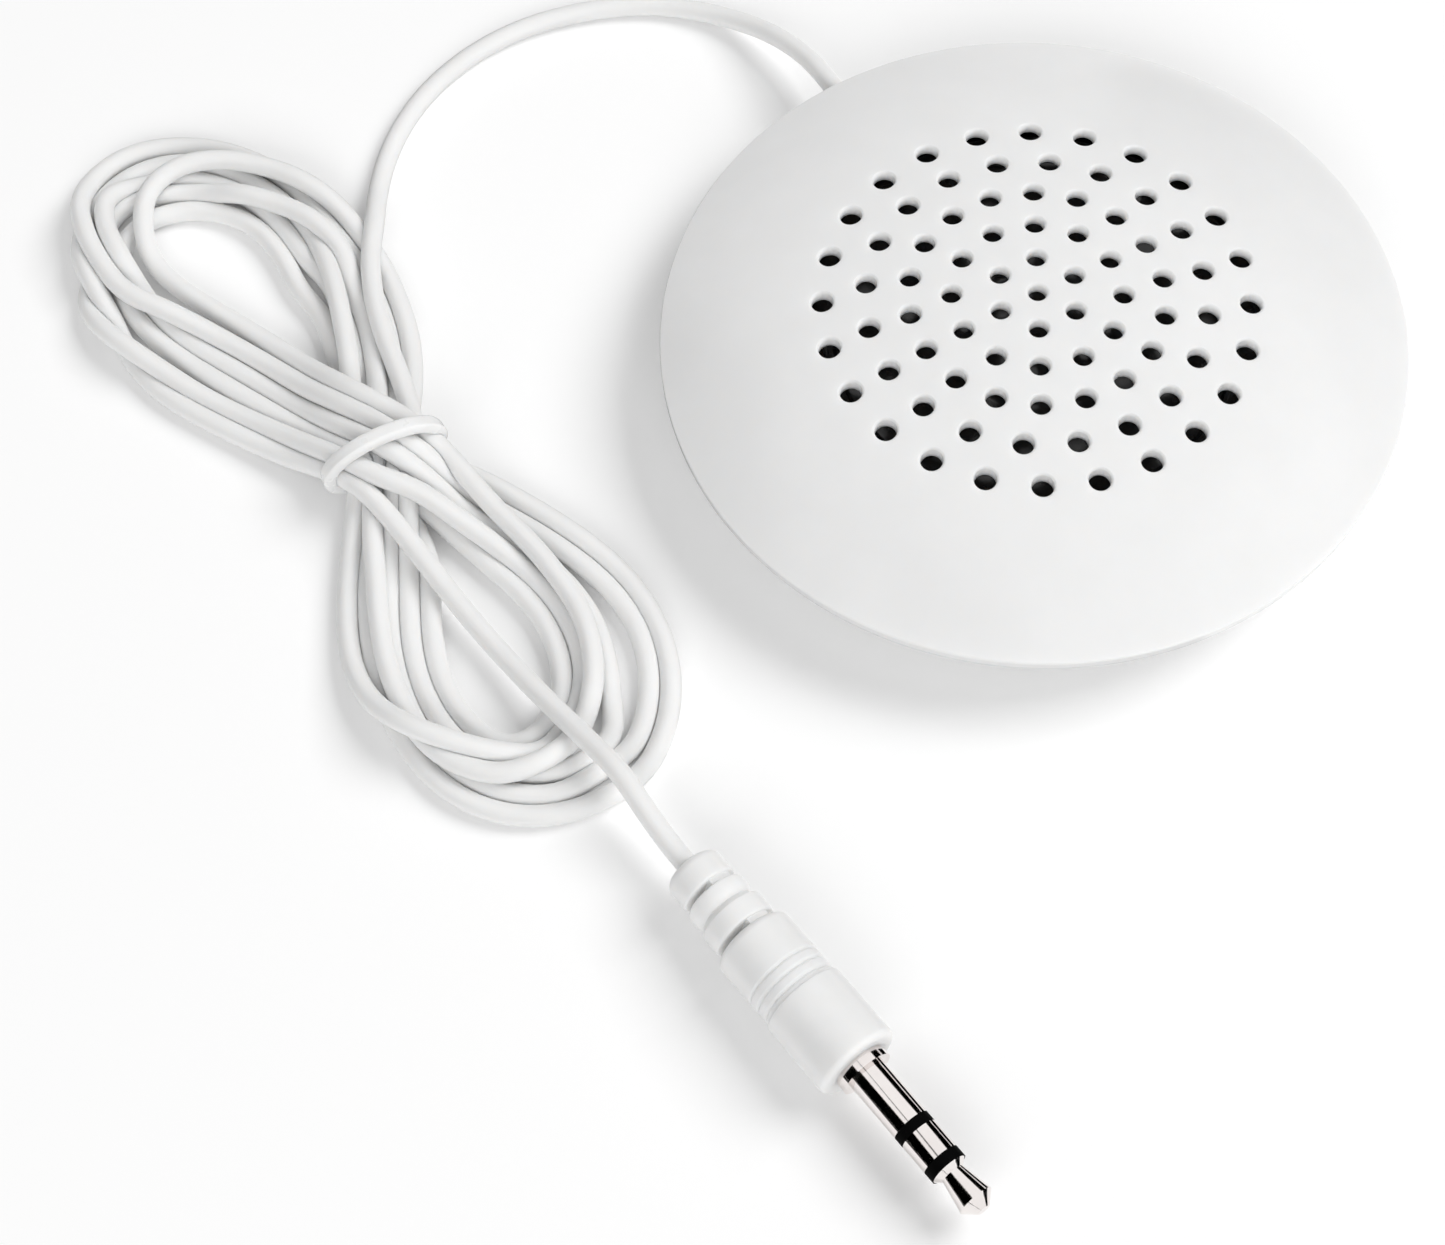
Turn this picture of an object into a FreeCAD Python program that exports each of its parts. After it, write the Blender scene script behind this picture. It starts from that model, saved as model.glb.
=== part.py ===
import FreeCAD, Part
import math
import os
import sys
from types import SimpleNamespace

import Sketcher

Vector = FreeCAD.Vector
Rotation = FreeCAD.Rotation
Placement = FreeCAD.Placement
UP = Vector(0, 0, 1)

# Pillow speaker: a two-shell disc with a small driver, a thin cord wound into a figure-eight hank, and a jack plug.
# The frame's origin is the middle of the disc's base, +Z goes up through the grille, and lengths are in millimetres.

doc = FreeCAD.newDocument("pillow_speaker")
sheet = doc.addObject("Spreadsheet::Sheet", "Sizes")


class Size:
    # A number together with the sheet expression that gives it, so that one formula serves both.
    def __init__(self, value, text):
        self.value = value
        self.text = text

    def __add__(self, other):
        return combine(self, "+", other)

    def __radd__(self, other):
        return combine(other, "+", self)

    def __sub__(self, other):
        return combine(self, "-", other)

    def __rsub__(self, other):
        return combine(other, "-", self)

    def __mul__(self, other):
        return combine(self, "*", other)

    def __rmul__(self, other):
        return combine(other, "*", self)

    def __truediv__(self, other):
        return combine(self, "/", other)

    def __neg__(self):
        return combine(0, "-", self)


def as_size(thing):
    return thing if isinstance(thing, Size) else Size(float(thing), repr(float(thing)))


def combine(left, sign, right):
    left, right = as_size(left), as_size(right)
    if sign == "+":
        value = left.value + right.value
    elif sign == "-":
        value = left.value - right.value
    elif sign == "*":
        value = left.value * right.value
    else:
        value = left.value / right.value
    return Size(value, f"({left.text} {sign} {right.text})")


def root(size):
    return Size(math.sqrt(size.value), f"sqrt({size.text})")


SIZES = {
    # case
    "rim_radius": 35,
    "parting_height": "=crown_height * 4 / 9",
    "rim_edge_height": "=crown_height * 25 / 48",
    "crown_height": 14.4,
    "crown_span": "=rim_radius * 4 / 7",
    "crown_drop": "=crown_height * 17 / 144",
    "wall": 1.2,
    "rim_reveal": 0.3,
    "base_radius": "=rim_radius * 24 / 35",
    "side_land": 0.5,
    "side_height": "=parting_height - side_land",
    "edge_round": 0.35,
    # grille
    "hole_radius": 1.0,
    "ring_pitch": "=crown_span * 79 / 400",
    "ring_a_holes": 6,
    "ring_b_holes": 12,
    "ring_c_holes": 18,
    "ring_d_holes": 20,
    "ring_e_holes": 24,
    "grille_angle": -31,
    "ring_d_angle": -37,
    # joints between the shells
    "lip_inset": 2.7,
    "lip_outer": "=rim_radius - lip_inset",
    "lip_thick": 0.9,
    "lip_low": "=parting_height * 7 / 8",
    "pin_count": 3,
    "pin_inset": 6.2,
    "pin_pitch_radius": "=rim_radius - pin_inset",
    "pin_first_angle": 60,
    "pin_radius": 1.1,
    "pin_length": "=crown_height * 7 / 36",
    "boss_wall": 1.0,
    "boss_meeting": "=parting_height * 27 / 32",
    "press_gap": 0.02,
    # driver
    "driver_radius": "=rim_radius * 5 / 7",
    "driver_gap": 0.15,
    "seat_height": "=crown_height * 89 / 144",
    "seat_width": 1.9,
    "seat_rib_inner": "=driver_radius - seat_width",
    "seat_rib_thick": 1.0,
    "locating_rib_thick": 1.0,
    "locating_rib_low": "=crown_height * 19 / 36",
    "gasket_width": 2.0,
    "gasket_inner": "=driver_radius - gasket_width",
    "gasket_thick": 0.5,
    "film_thick": 0.2,
    "roll_gap": 0.2,
    "roll_width": 4.2,
    "roll_outer": "=gasket_inner - roll_gap",
    "roll_inner": "=roll_outer - roll_width",
    "roll_rise": 1.0,
    "coil_seat_drop": "=crown_height * 13 / 144",
    "dome_rise": 1.4,
    "flange_thick": 1.0,
    "basket_floor_thick": 0.8,
    "basket_floor_radius": "=driver_radius * 0.896",
    "basket_floor_low": "=crown_height * 5 / 18",
    "vent_count": 8,
    "vent_radius": 1.5,
    "vent_pitch_radius": "=(yoke_radius + board_near) / 2",
    "yoke_wall": 1.0,
    "yoke_radius": "=coil_inner + coil_thick + coil_outside_gap + yoke_wall",
    "yoke_low": "=crown_height * 13 / 72",
    "yoke_floor": "=crown_height / 16",
    "magnet_inset": 0.3,
    "magnet_radius": "=pole_radius - magnet_inset",
    "magnet_thick": "=crown_height / 8",
    "pole_radius": 7.1,
    "pole_thick": "=crown_height / 18",
    "coil_inside_gap": 0.35,
    "coil_outside_gap": 0.45,
    "coil_inner": "=pole_radius + coil_inside_gap",
    "coil_thick": 0.7,
    "coil_length": 2.3,
    "cloth_margin": 2.2,
    "cloth_inner": "=vent_pitch_radius - cloth_margin",
    "cloth_outer": "=vent_pitch_radius + cloth_margin",
    "cloth_thick": 0.25,
    "pad_inset": 0.2,
    "pad_radius": "=yoke_radius - pad_inset",
    "pad_rib_gap": 0.2,
    "rib_thick": 0.8,
    "rib_rise": 0.7,
    "rib_count": 6,
    # terminal board and its wires
    "board_near": "=driver_radius * 0.696",
    "board_depth": 4.0,
    "board_width": 9.0,
    "board_thick": 0.6,
    "joint_radius": 0.95,
    "joint_length": 1.0,
    "joint_spread": 2.4,
    "core_radius": 0.45,
    # cord, its slot and what holds it inside the wall
    "cord_radius": 1.0,
    "cord_gap": 0.1,
    "cord_below_parting": 0.15,
    "cord_angle": 117.5,
    "jacket_end": "=rim_radius * 139 / 175",
    "cord_straight": 1.0,
    "cord_turn": "=rim_radius - cord_straight",
    "fence_inset": 4.8,
    "fence_near": "=rim_radius - fence_inset",
    "fence_thick": 1.0,
    "fence_half_width": 3.5,
    "fence_root": "=crown_height * 29 / 144",
    "fence_top": "=crown_height * 31 / 72",
    "inner_tie_step": 1.6,
    "inner_tie_near": "=fence_near - inner_tie_step",
    "inner_tie_width": 1.2,
    "inner_tie_thick": 0.6,
    "inner_tie_head": 1.8,
    # hank and the tie round its waist
    "hank_height": 4.2,
    "hank_round": 1.3,
    "tie_x": -61.2,
    "tie_y": -7.7,
    "tie_angle": 25,
    "tie_half_width": 5.65,
    "tie_half_height": 3.2,
    "tie_wire_radius": 0.8,
    "tie_gap": 0.12,
    "waist_half_length": 9.0,
    "waist_swell": 0.5,
    # plug
    "plug_x": -34.1,
    "plug_y": -51.3,
    "plug_angle": -54.2,
    "plug_run": 4.4,
    "relief_radius": 2.72,
    "relief_middle_radius": 2.9,
    "relief_valley_radius": 2.6,
    "relief_recess": 0.3,
    "relief_front_radius": 3.1,
    "relief_length": 8.4,
    "slit_width": 0.6,
    "slit_web": 1.15,
    "slit_roll": -27,
    "barrel_rear_radius": 3.7,
    "barrel_radius": 3.9,
    "barrel_length": 14.7,
    "barrel_step": 7.2,
    "groove_depth": 0.15,
    "groove_pitch": 1.05,
    "core_mould_radius": 2.9,
    "core_mould_near": 12.0,
    "core_mould_length": 9.2,
    "collar_radius": 2.47,
    "collar_length": 1.0,
    "shaft_radius": 1.75,
    "spigot_radius": 2.1,
    "spigot_length": 2.8,
    "terminal_step": 0.4,
    "sleeve_length": 5.7,
    "rear_band_length": 1.0,
    "ring_length": 2.8,
    "front_band_length": 1.05,
    "bore_sleeve": 1.35,
    "bore_ring": 1.05,
    "bore_band": 0.8,
    "rod_radius": 0.5,
    "tip_shoulder": 1.65,
    "tip_shoulder_length": 0.5,
    "tip_neck": 1.1,
    "tip_flare": 1.65,
    "tip_flare_length": 2.9,
    "tip_cone_length": 1.0,
    "tip_end": 0.6,
}

for row, name in enumerate(SIZES, 1):
    sheet.set(f"A{row}", name)
    sheet.setAlias(f"B{row}", name)
for row, value in enumerate(SIZES.values(), 1):
    sheet.set(f"B{row}", str(value))
doc.recompute()
s = SimpleNamespace(**{name: Size(float(sheet.get(name)), f"Sizes.{name}") for name in SIZES})


# helpers for objects and their expressions

def bind(thing, **properties):
    # Each property's value comes from the sheet. A double underscore stands for the dot of a nested property.
    for path, size in properties.items():
        thing.setExpression(path.replace("__", "."), as_size(size).text)


def move(thing, x=0, y=0, z=0, turn=0, axis=UP):
    # The turn is about the given axis through the thing's own origin.
    thing.Placement = Placement(Vector(0, 0, 0), Rotation(axis, as_size(turn).value))
    bind(thing, Placement__Base__x=x, Placement__Base__y=y, Placement__Base__z=z)
    if isinstance(turn, Size):
        bind(thing, Placement__Rotation__Angle=turn)


def new_body(label):
    body = doc.addObject("PartDesign::Body", label)
    body.Label = label
    return body


def new_sketch(body, role, name, lift=0, roll=0):
    sketch = body.newObject("Sketcher::SketchObject", name)
    plane = next(p for p in body.Origin.OriginFeatures if p.Role == role)
    sketch.AttachmentSupport = [(plane, "")]
    sketch.MapMode = "FlatFace"
    if isinstance(roll, Size):
        sketch.AttachmentOffset = Placement(Vector(0, 0, 0), Rotation(Vector(1, 0, 0), roll.value))
        bind(sketch, AttachmentOffset__Rotation__Angle=roll)
    if isinstance(lift, Size):
        bind(sketch, AttachmentOffset__Base__z=lift)
    return sketch


def hold(sketch, kind, place, size):
    # A driving dimension of the sketch, bound to the sheet.
    number = sketch.addConstraint(Sketcher.Constraint(kind, *place, size.value))
    sketch.setExpression(f"Constraints[{number}]", size.text)


def pin_point(sketch, curve, end, x, y):
    for kind, axis, size in (("DistanceX", -2, x), ("DistanceY", -1, y)):
        size = as_size(size)
        if size.value == 0:
            sketch.addConstraint(Sketcher.Constraint("PointOnObject", curve, end, axis))
        else:
            hold(sketch, kind, (curve, end), size)


def arc_between(start, end, radius):
    # A positive radius bulges to the right of the way from start to end, a negative one to the left.
    chord = end - start
    left = Vector(-chord.y, chord.x, 0).normalize()
    reach = math.sqrt(radius * radius - chord.Length * chord.Length / 4)
    centre = (start + end) * 0.5 + left * math.copysign(reach, radius)
    low, high = (start - centre, end - centre) if radius > 0 else (end - centre, start - centre)
    circle_of_arc = Part.Circle(centre, UP, abs(radius))
    return Part.ArcOfCircle(circle_of_arc, math.atan2(low.y, low.x), math.atan2(high.y, high.x))


def outline(sketch, corners):
    # Corners are (x, y) or (x, y, radius), where the radius belongs to the arc from that corner to the next.
    count = len(corners)
    places = [Vector(as_size(c[0]).value, as_size(c[1]).value, 0) for c in corners]
    ends = []
    for i, corner in enumerate(corners):
        start, end = places[i], places[(i + 1) % count]
        if len(corner) == 3:
            curve = sketch.addGeometry(arc_between(start, end, corner[2].value))
            first = 1 if corner[2].value > 0 else 2
        else:
            curve = sketch.addGeometry(Part.LineSegment(start, end))
            first = 1
        ends.append((curve, first, 3 - first))
    for i, corner in enumerate(corners):
        curve, first, last = ends[i]
        after = ends[(i + 1) % count]
        sketch.addConstraint(Sketcher.Constraint("Coincident", curve, last, after[0], after[1]))
        pin_point(sketch, curve, first, corner[0], corner[1])
        if len(corner) == 3:
            hold(sketch, "Radius", (curve,), corner[2] if corner[2].value > 0 else -corner[2])


def box_outline(sketch, x0, x1, y0, y1):
    outline(sketch, [(x0, y0), (x1, y0), (x1, y1), (x0, y1)])


def circle(sketch, radius, x=0, y=0):
    place = Vector(as_size(x).value, as_size(y).value, 0)
    curve = sketch.addGeometry(Part.Circle(place, UP, as_size(radius).value))
    pin_point(sketch, curve, 3, x, y)
    hold(sketch, "Radius", (curve,), as_size(radius))


def revolve(body, name, sketch, axis="V_Axis"):
    feature = body.newObject("PartDesign::Revolution", name)
    feature.Profile = sketch
    feature.ReferenceAxis = (sketch, [axis])
    feature.Angle = 360
    doc.recompute()
    return feature


def pad(body, name, sketch, length=None, back=False):
    # With no length the pad grows until it meets the body.
    feature = body.newObject("PartDesign::Pad", name)
    feature.Profile = sketch
    feature.Reversed = back
    if length is None:
        feature.Type = "UpToFirst"
    else:
        bind(feature, Length=length)
    doc.recompute()
    return feature


def cut(body, name, sketch, length=None, back=False):
    # With no length the pocket goes right through, both ways.
    before = body.Shape.Volume
    feature = body.newObject("PartDesign::Pocket", name)
    feature.Profile = sketch
    feature.Reversed = back
    if length is None:
        feature.Type = "ThroughAll"
        feature.Midplane = True
    else:
        bind(feature, Length=length)
    doc.recompute()
    if body.Shape.Volume > before - 1e-4:
        sys.exit(f"{name} cuts nothing")
    return feature


def repeat(body, name, features, count):
    pattern = body.newObject("PartDesign::PolarPattern", name)
    pattern.Originals = features
    pattern.Axis = (features[0].Profile[0], ["N_Axis"])
    pattern.Angle = 360
    bind(pattern, Occurrences=count)
    body.Tip = pattern
    doc.recompute()
    return pattern


def circles_of(shape, wanted):
    # Names of the circular edges whose (radius, height along their axis) is in the wanted list.
    found = []
    for number, edge in enumerate(shape.Edges, 1):
        if edge.Degenerated or not edge.isClosed() or not isinstance(edge.Curve, Part.Circle):
            continue
        curve = edge.Curve
        along = curve.Center.dot(curve.Axis) * (1 if max(curve.Axis) > 0.5 else -1)
        if any(abs(curve.Radius - r.value) < 1e-4 and abs(along - h.value) < 1e-4 for r, h in wanted):
            found.append(f"Edge{number}")
    return found


def soften(body, name, wanted, radius):
    wanted = [(as_size(r), as_size(h)) for r, h in wanted]
    base = body.Tip
    names = circles_of(base.Shape, wanted)
    if len(names) < len(wanted):
        sys.exit(f"{name} finds {len(names)} edges of {len(wanted)}")
    feature = body.newObject("PartDesign::Fillet", name)
    feature.Base = (base, names)
    bind(feature, Radius=radius)
    body.Tip = feature
    doc.recompute()
    return feature


def cylinder(name, radius, low, height):
    thing = doc.addObject("Part::Cylinder", name)
    bind(thing, Radius=radius, Height=height)
    move(thing, z=low)
    return thing


def ring(label, outer, inner, low, height):
    # A flat ring about the disc's axis.
    thing = doc.addObject("Part::Cut", label)
    thing.Base = cylinder(label + "_outside", outer, low, height)
    thing.Tool = cylinder(label + "_bore", inner, low, height)
    return thing


def shape_object(label, shape):
    thing = doc.addObject("Part::Feature", label)
    thing.Shape = shape
    return thing


# helpers for routes

def rounded_route(points, closed=False):
    # Straight runs joined by tangent arcs, each as large as its two runs allow. Returns the wire and the radii.
    count = len(points)
    bends = range(count) if closed else range(1, count - 1)
    trims, arcs, radii = {}, {}, []
    for i in bends:
        before = points[i - 1] - points[i]
        after = points[(i + 1) % count] - points[i]
        half_turn = (math.pi - before.getAngle(after)) / 2
        trim = 0.45 * min(before.Length, after.Length)
        radius = trim / math.tan(half_turn)
        start = points[i] + before.normalize() * trim
        end = points[i] + after.normalize() * trim
        inward = (before + after).normalize()
        middle = points[i] + inward * (radius / math.cos(half_turn) - radius)
        arcs[i] = Part.Arc(start, middle, end).toShape()
        trims[i] = (start, end)
        radii.append(radius)
    edges = []
    for i in range(count if closed else count - 1):
        following = (i + 1) % count
        if i in arcs:
            edges.append(arcs[i])
        start = trims[i][1] if i in trims else points[i]
        end = trims[following][0] if following in trims else points[following]
        edges.append(Part.LineSegment(start, end).toShape())
    return Part.Wire(Part.__sortEdges__(edges)), radii


def tube(points, radius, label):
    path, radii = rounded_route(points)
    start_way = (points[1] - points[0]).normalize()
    section = Part.Wire([Part.Circle(points[0], start_way, radius).toShape()])
    solid = path.makePipeShell([section], True, True)
    expected = math.pi * radius * radius * path.Length
    runs = [round((b - a).Length, 1) for a, b in zip(points, points[1:])]
    print(f"{label}: length {path.Length:.1f}, runs {runs}, radii {[round(r, 1) for r in radii]}")
    if abs(solid.Volume - expected) > 0.01 * expected:
        sys.exit(f"{label}: volume {solid.Volume:.2f} against {expected:.2f}")
    return solid


# places that several pieces share

def case_place(thing):
    # The case and the driver are drawn with the cord's slot on +X, then turned to the cord's side.
    thing.Placement = Placement(Vector(0, 0, 0), Rotation(UP, s.cord_angle.value))
    bind(thing, Placement__Rotation__Angle=s.cord_angle)


def plug_place(thing):
    move(thing, s.plug_x, s.plug_y, s.barrel_radius, s.plug_angle)


def case_point(x, y, z):
    return Rotation(UP, s.cord_angle.value).multVec(Vector(x, y, z))


def plug_point(x):
    way = Rotation(UP, s.plug_angle.value).multVec(Vector(x, 0, 0))
    return Vector(s.plug_x.value, s.plug_y.value, s.barrel_radius.value) + way


crown_radius = (s.crown_span * s.crown_span + s.crown_drop * s.crown_drop) / (2 * s.crown_drop)
crown_edge = s.crown_height - s.crown_drop
lean_x = s.crown_span / crown_radius
lean_z = (crown_radius - s.crown_drop) / crown_radius
reach_x = s.rim_radius - s.crown_span
reach_z = crown_edge - s.rim_edge_height
shoulder_radius = (reach_x * reach_x + reach_z * reach_z) / (2 * (reach_z * lean_z - reach_x * lean_x))
shoulder_x = s.crown_span - shoulder_radius * lean_x
shoulder_z = crown_edge - shoulder_radius * lean_z
side_radius = s.rim_radius - s.rim_reveal
bowl_reach = side_radius - s.base_radius
bowl_radius = (bowl_reach * bowl_reach + s.side_height * s.side_height) / (2 * s.side_height)
cord_height = s.parting_height - s.cord_radius - s.cord_below_parting
boss_radius = s.pin_radius + s.boss_wall
slot_radius = s.cord_radius + s.cord_gap
flange_top = s.seat_height - s.gasket_thick - s.film_thick
barrel_front = s.relief_length + s.barrel_length
tie_height = s.tie_half_height + s.tie_wire_radius


def under_shoulder(radius, depth):
    # Height of the surface that lies so deep under the top shell's shoulder.
    arm = shoulder_radius - depth
    across = radius - shoulder_x
    return shoulder_z + root(arm * arm - across * across)


# case

def top_shell():
    body = new_body("top_shell")
    w = s.wall
    inner_radius = s.rim_radius - w
    sketch = new_sketch(body, "XZ_Plane", "top_section")
    outline(sketch, [
        (0, s.crown_height, -crown_radius),
        (s.crown_span, crown_edge, -shoulder_radius),
        (s.rim_radius, s.rim_edge_height),
        (s.rim_radius, s.parting_height),
        (inner_radius, s.parting_height),
        (inner_radius, under_shoulder(inner_radius, w), shoulder_radius - w),
        (s.crown_span - w * lean_x, crown_edge - w * lean_z, crown_radius - w),
        (0, s.crown_height - w),
    ])
    revolve(body, "top_dome", sketch)
    soften(body, "rim_rounding", [(s.rim_radius, s.rim_edge_height), (s.rim_radius, s.parting_height)],
           s.edge_round)
    ribs = new_sketch(body, "XZ_Plane", "rib_sections")
    locating_inner = s.driver_radius + s.driver_gap
    for inner, thick, low in (
        (s.seat_rib_inner, s.seat_rib_thick, s.seat_height),
        (locating_inner, s.locating_rib_thick, s.locating_rib_low),
        (s.lip_outer - s.lip_thick, s.lip_thick, s.lip_low),
    ):
        box_outline(ribs, inner, inner + thick, low, under_shoulder(inner + thick, w / 2))
    revolve(body, "seat_and_lip", ribs)
    boss = new_sketch(body, "XY_Plane", "boss_circle", lift=s.boss_meeting)
    half = Size(math.cos(math.radians(s.pin_first_angle.value)), f"cos({s.pin_first_angle.text} * 1 deg)")
    rise = Size(math.sin(math.radians(s.pin_first_angle.value)), f"sin({s.pin_first_angle.text} * 1 deg)")
    circle(boss, boss_radius, s.pin_pitch_radius * half, s.pin_pitch_radius * rise)
    bosses = pad(body, "boss", boss)
    socket = new_sketch(body, "XY_Plane", "socket_circle", lift=s.boss_meeting)
    circle(socket, s.pin_radius + s.press_gap, s.pin_pitch_radius * half, s.pin_pitch_radius * rise)
    sockets = cut(body, "socket", socket, s.pin_length + s.cord_gap, back=True)
    repeat(body, "three_bosses", [bosses, sockets], s.pin_count)
    notch = new_sketch(body, "YZ_Plane", "lip_notch_circle")
    circle(notch, slot_radius, 0, cord_height)
    cut(body, "lip_notch", notch, s.rim_radius - s.wall, back=True)
    centre = new_sketch(body, "XY_Plane", "centre_hole_circle")
    circle(centre, s.hole_radius)
    cut(body, "centre_hole", centre)
    rings = (s.ring_a_holes, s.ring_b_holes, s.ring_c_holes, s.ring_d_holes, s.ring_e_holes)
    for number, holes in enumerate(rings, 1):
        angle = s.ring_d_angle if holes is s.ring_d_holes else s.grille_angle
        across = Size(math.cos(math.radians(angle.value)), f"cos({angle.text} * 1 deg)")
        along = Size(math.sin(math.radians(angle.value)), f"sin({angle.text} * 1 deg)")
        spot = new_sketch(body, "XY_Plane", f"ring_{number}_circle")
        circle(spot, s.hole_radius, number * s.ring_pitch * across, number * s.ring_pitch * along)
        hole = cut(body, f"ring_{number}_hole", spot)
        repeat(body, f"ring_{number}", [hole], holes)
    case_place(body)
    return body


def bottom_shell():
    body = new_body("bottom_shell")
    w = s.wall
    inner_bowl = bowl_radius - w
    above = bowl_radius - s.parting_height
    inner_top = s.base_radius + root(inner_bowl * inner_bowl - above * above)
    sketch = new_sketch(body, "XZ_Plane", "bottom_section")
    outline(sketch, [
        (0, 0),
        (s.base_radius, 0, bowl_radius),
        (side_radius, s.side_height),
        (side_radius, s.parting_height),
        (inner_top, s.parting_height, -inner_bowl),
        (s.base_radius, w),
        (0, w),
    ])
    revolve(body, "bottom_bowl", sketch)
    seat = new_sketch(body, "XZ_Plane", "pad_rib_section")
    pad_rib_inner = s.pad_radius + s.pad_rib_gap
    box_outline(seat, pad_rib_inner, pad_rib_inner + s.rib_thick, w / 2, w + s.rib_rise)
    revolve(body, "pad_rib", seat)
    rib = new_sketch(body, "XY_Plane", "radial_rib_outline", lift=w / 2)
    box_outline(rib, pad_rib_inner + s.rib_thick / 2, s.base_radius, -s.rib_thick / 2, s.rib_thick / 2)
    rib_turn = Rotation(UP, 30)
    rib.AttachmentOffset = Placement(rib.AttachmentOffset.Base, rib_turn)
    ribs = pad(body, "radial_rib", rib, w / 2 + s.rib_rise)
    repeat(body, "radial_ribs", [ribs], s.rib_count)
    half = Size(math.cos(math.radians(s.pin_first_angle.value)), f"cos({s.pin_first_angle.text} * 1 deg)")
    rise = Size(math.sin(math.radians(s.pin_first_angle.value)), f"sin({s.pin_first_angle.text} * 1 deg)")
    column = new_sketch(body, "XY_Plane", "column_circle", lift=s.boss_meeting)
    circle(column, boss_radius, s.pin_pitch_radius * half, s.pin_pitch_radius * rise)
    columns = pad(body, "column", column, back=True)
    pin = new_sketch(body, "XY_Plane", "pin_circle", lift=s.boss_meeting)
    circle(pin, s.pin_radius, s.pin_pitch_radius * half, s.pin_pitch_radius * rise)
    pins = pad(body, "press_pin", pin, s.pin_length)
    repeat(body, "three_pins", [columns, pins], s.pin_count)
    fence = new_sketch(body, "XY_Plane", "fence_outline", lift=s.fence_root)
    box_outline(fence, s.fence_near, s.fence_near + s.fence_thick, -s.fence_half_width, s.fence_half_width)
    pad(body, "cord_fence", fence, s.fence_top - s.fence_root)
    slot = new_sketch(body, "YZ_Plane", "cord_slot_circle")
    circle(slot, slot_radius, 0, cord_height)
    cut(body, "cord_slot_floor", slot, s.rim_radius + w, back=True)
    mouth = new_sketch(body, "YZ_Plane", "cord_slot_mouth")
    box_outline(mouth, -slot_radius, slot_radius, cord_height, s.parting_height + w)
    cut(body, "cord_slot", mouth, s.rim_radius + w, back=True)
    case_place(body)
    return body


# driver

def diaphragm():
    body = new_body("diaphragm")
    low = flange_top
    film = s.film_thick
    half_roll = (s.roll_outer - s.roll_inner) / 2
    roll_radius = (half_roll * half_roll + s.roll_rise * s.roll_rise) / (2 * s.roll_rise)
    dome_foot = s.coil_inner - s.film_thick
    dome_radius = (dome_foot * dome_foot + s.dome_rise * s.dome_rise) / (2 * s.dome_rise)
    coil_seat = low - s.coil_seat_drop
    seat_outer = s.coil_inner + s.coil_thick + s.film_thick
    sketch = new_sketch(body, "XZ_Plane", "film_section")
    outline(sketch, [
        (0, coil_seat + s.dome_rise, -dome_radius),
        (dome_foot, coil_seat),
        (seat_outer, coil_seat),
        (s.roll_inner, low, -roll_radius),
        (s.roll_outer, low),
        (s.driver_radius, low),
        (s.driver_radius, low + film),
        (s.roll_outer, low + film, roll_radius),
        (s.roll_inner, low + film),
        (seat_outer, coil_seat + film),
        (dome_foot, coil_seat + film, dome_radius),
        (0, coil_seat + s.dome_rise + film),
    ])
    revolve(body, "film", sketch)
    case_place(body)
    return body


def driver_basket():
    body = new_body("driver_basket")
    floor_top = s.basket_floor_low + s.basket_floor_thick
    sketch = new_sketch(body, "XZ_Plane", "basket_section")
    outline(sketch, [
        (s.yoke_radius, s.basket_floor_low),
        (s.basket_floor_radius, s.basket_floor_low),
        (s.gasket_inner + s.basket_floor_thick, flange_top - s.flange_thick),
        (s.driver_radius, flange_top - s.flange_thick),
        (s.driver_radius, flange_top),
        (s.gasket_inner, flange_top),
        (s.basket_floor_radius - s.basket_floor_thick, floor_top),
        (s.yoke_radius, floor_top),
    ])
    revolve(body, "basket", sketch)
    vent = new_sketch(body, "XY_Plane", "vent_circle")
    circle(vent, s.vent_radius, s.vent_pitch_radius)
    vents = cut(body, "vent", vent)
    repeat(body, "vents", [vents], s.vent_count)
    case_place(body)
    return body


def yoke_cup():
    cup = doc.addObject("Part::Cut", "yoke_cup")
    pole_top = s.yoke_low + s.yoke_floor + s.magnet_thick + s.pole_thick
    cup.Base = cylinder("yoke_outside", s.yoke_radius, s.yoke_low, pole_top - s.yoke_low)
    cup.Tool = cylinder("yoke_inside", s.yoke_radius - s.yoke_wall, s.yoke_low + s.yoke_floor,
                        pole_top - s.yoke_low)
    return cup


def driver_rings():
    magnet_low = s.yoke_low + s.yoke_floor
    coil_top = flange_top - s.coil_seat_drop
    pad_low = s.wall
    return [
        ring("gasket", s.driver_radius, s.gasket_inner, s.seat_height - s.gasket_thick, s.gasket_thick),
        ring("voice_coil", s.coil_inner + s.coil_thick, s.coil_inner, coil_top - s.coil_length,
             s.coil_length),
        ring("vent_cloth", s.cloth_outer, s.cloth_inner, s.basket_floor_low - s.cloth_thick,
             s.cloth_thick),
        cylinder("magnet", s.magnet_radius, magnet_low, s.magnet_thick),
        cylinder("pole_plate", s.pole_radius, magnet_low + s.magnet_thick, s.pole_thick),
        cylinder("foam_pad", s.pad_radius, pad_low, s.yoke_low - pad_low),
    ]


def terminal_board():
    body = new_body("terminal_board")
    sketch = new_sketch(body, "XY_Plane", "board_outline", lift=s.basket_floor_low - s.board_thick)
    box_outline(sketch, s.board_near, s.board_near + s.board_depth, -s.board_width / 2, s.board_width / 2)
    pad(body, "board", sketch, s.board_thick)
    case_place(body)
    return body


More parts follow.
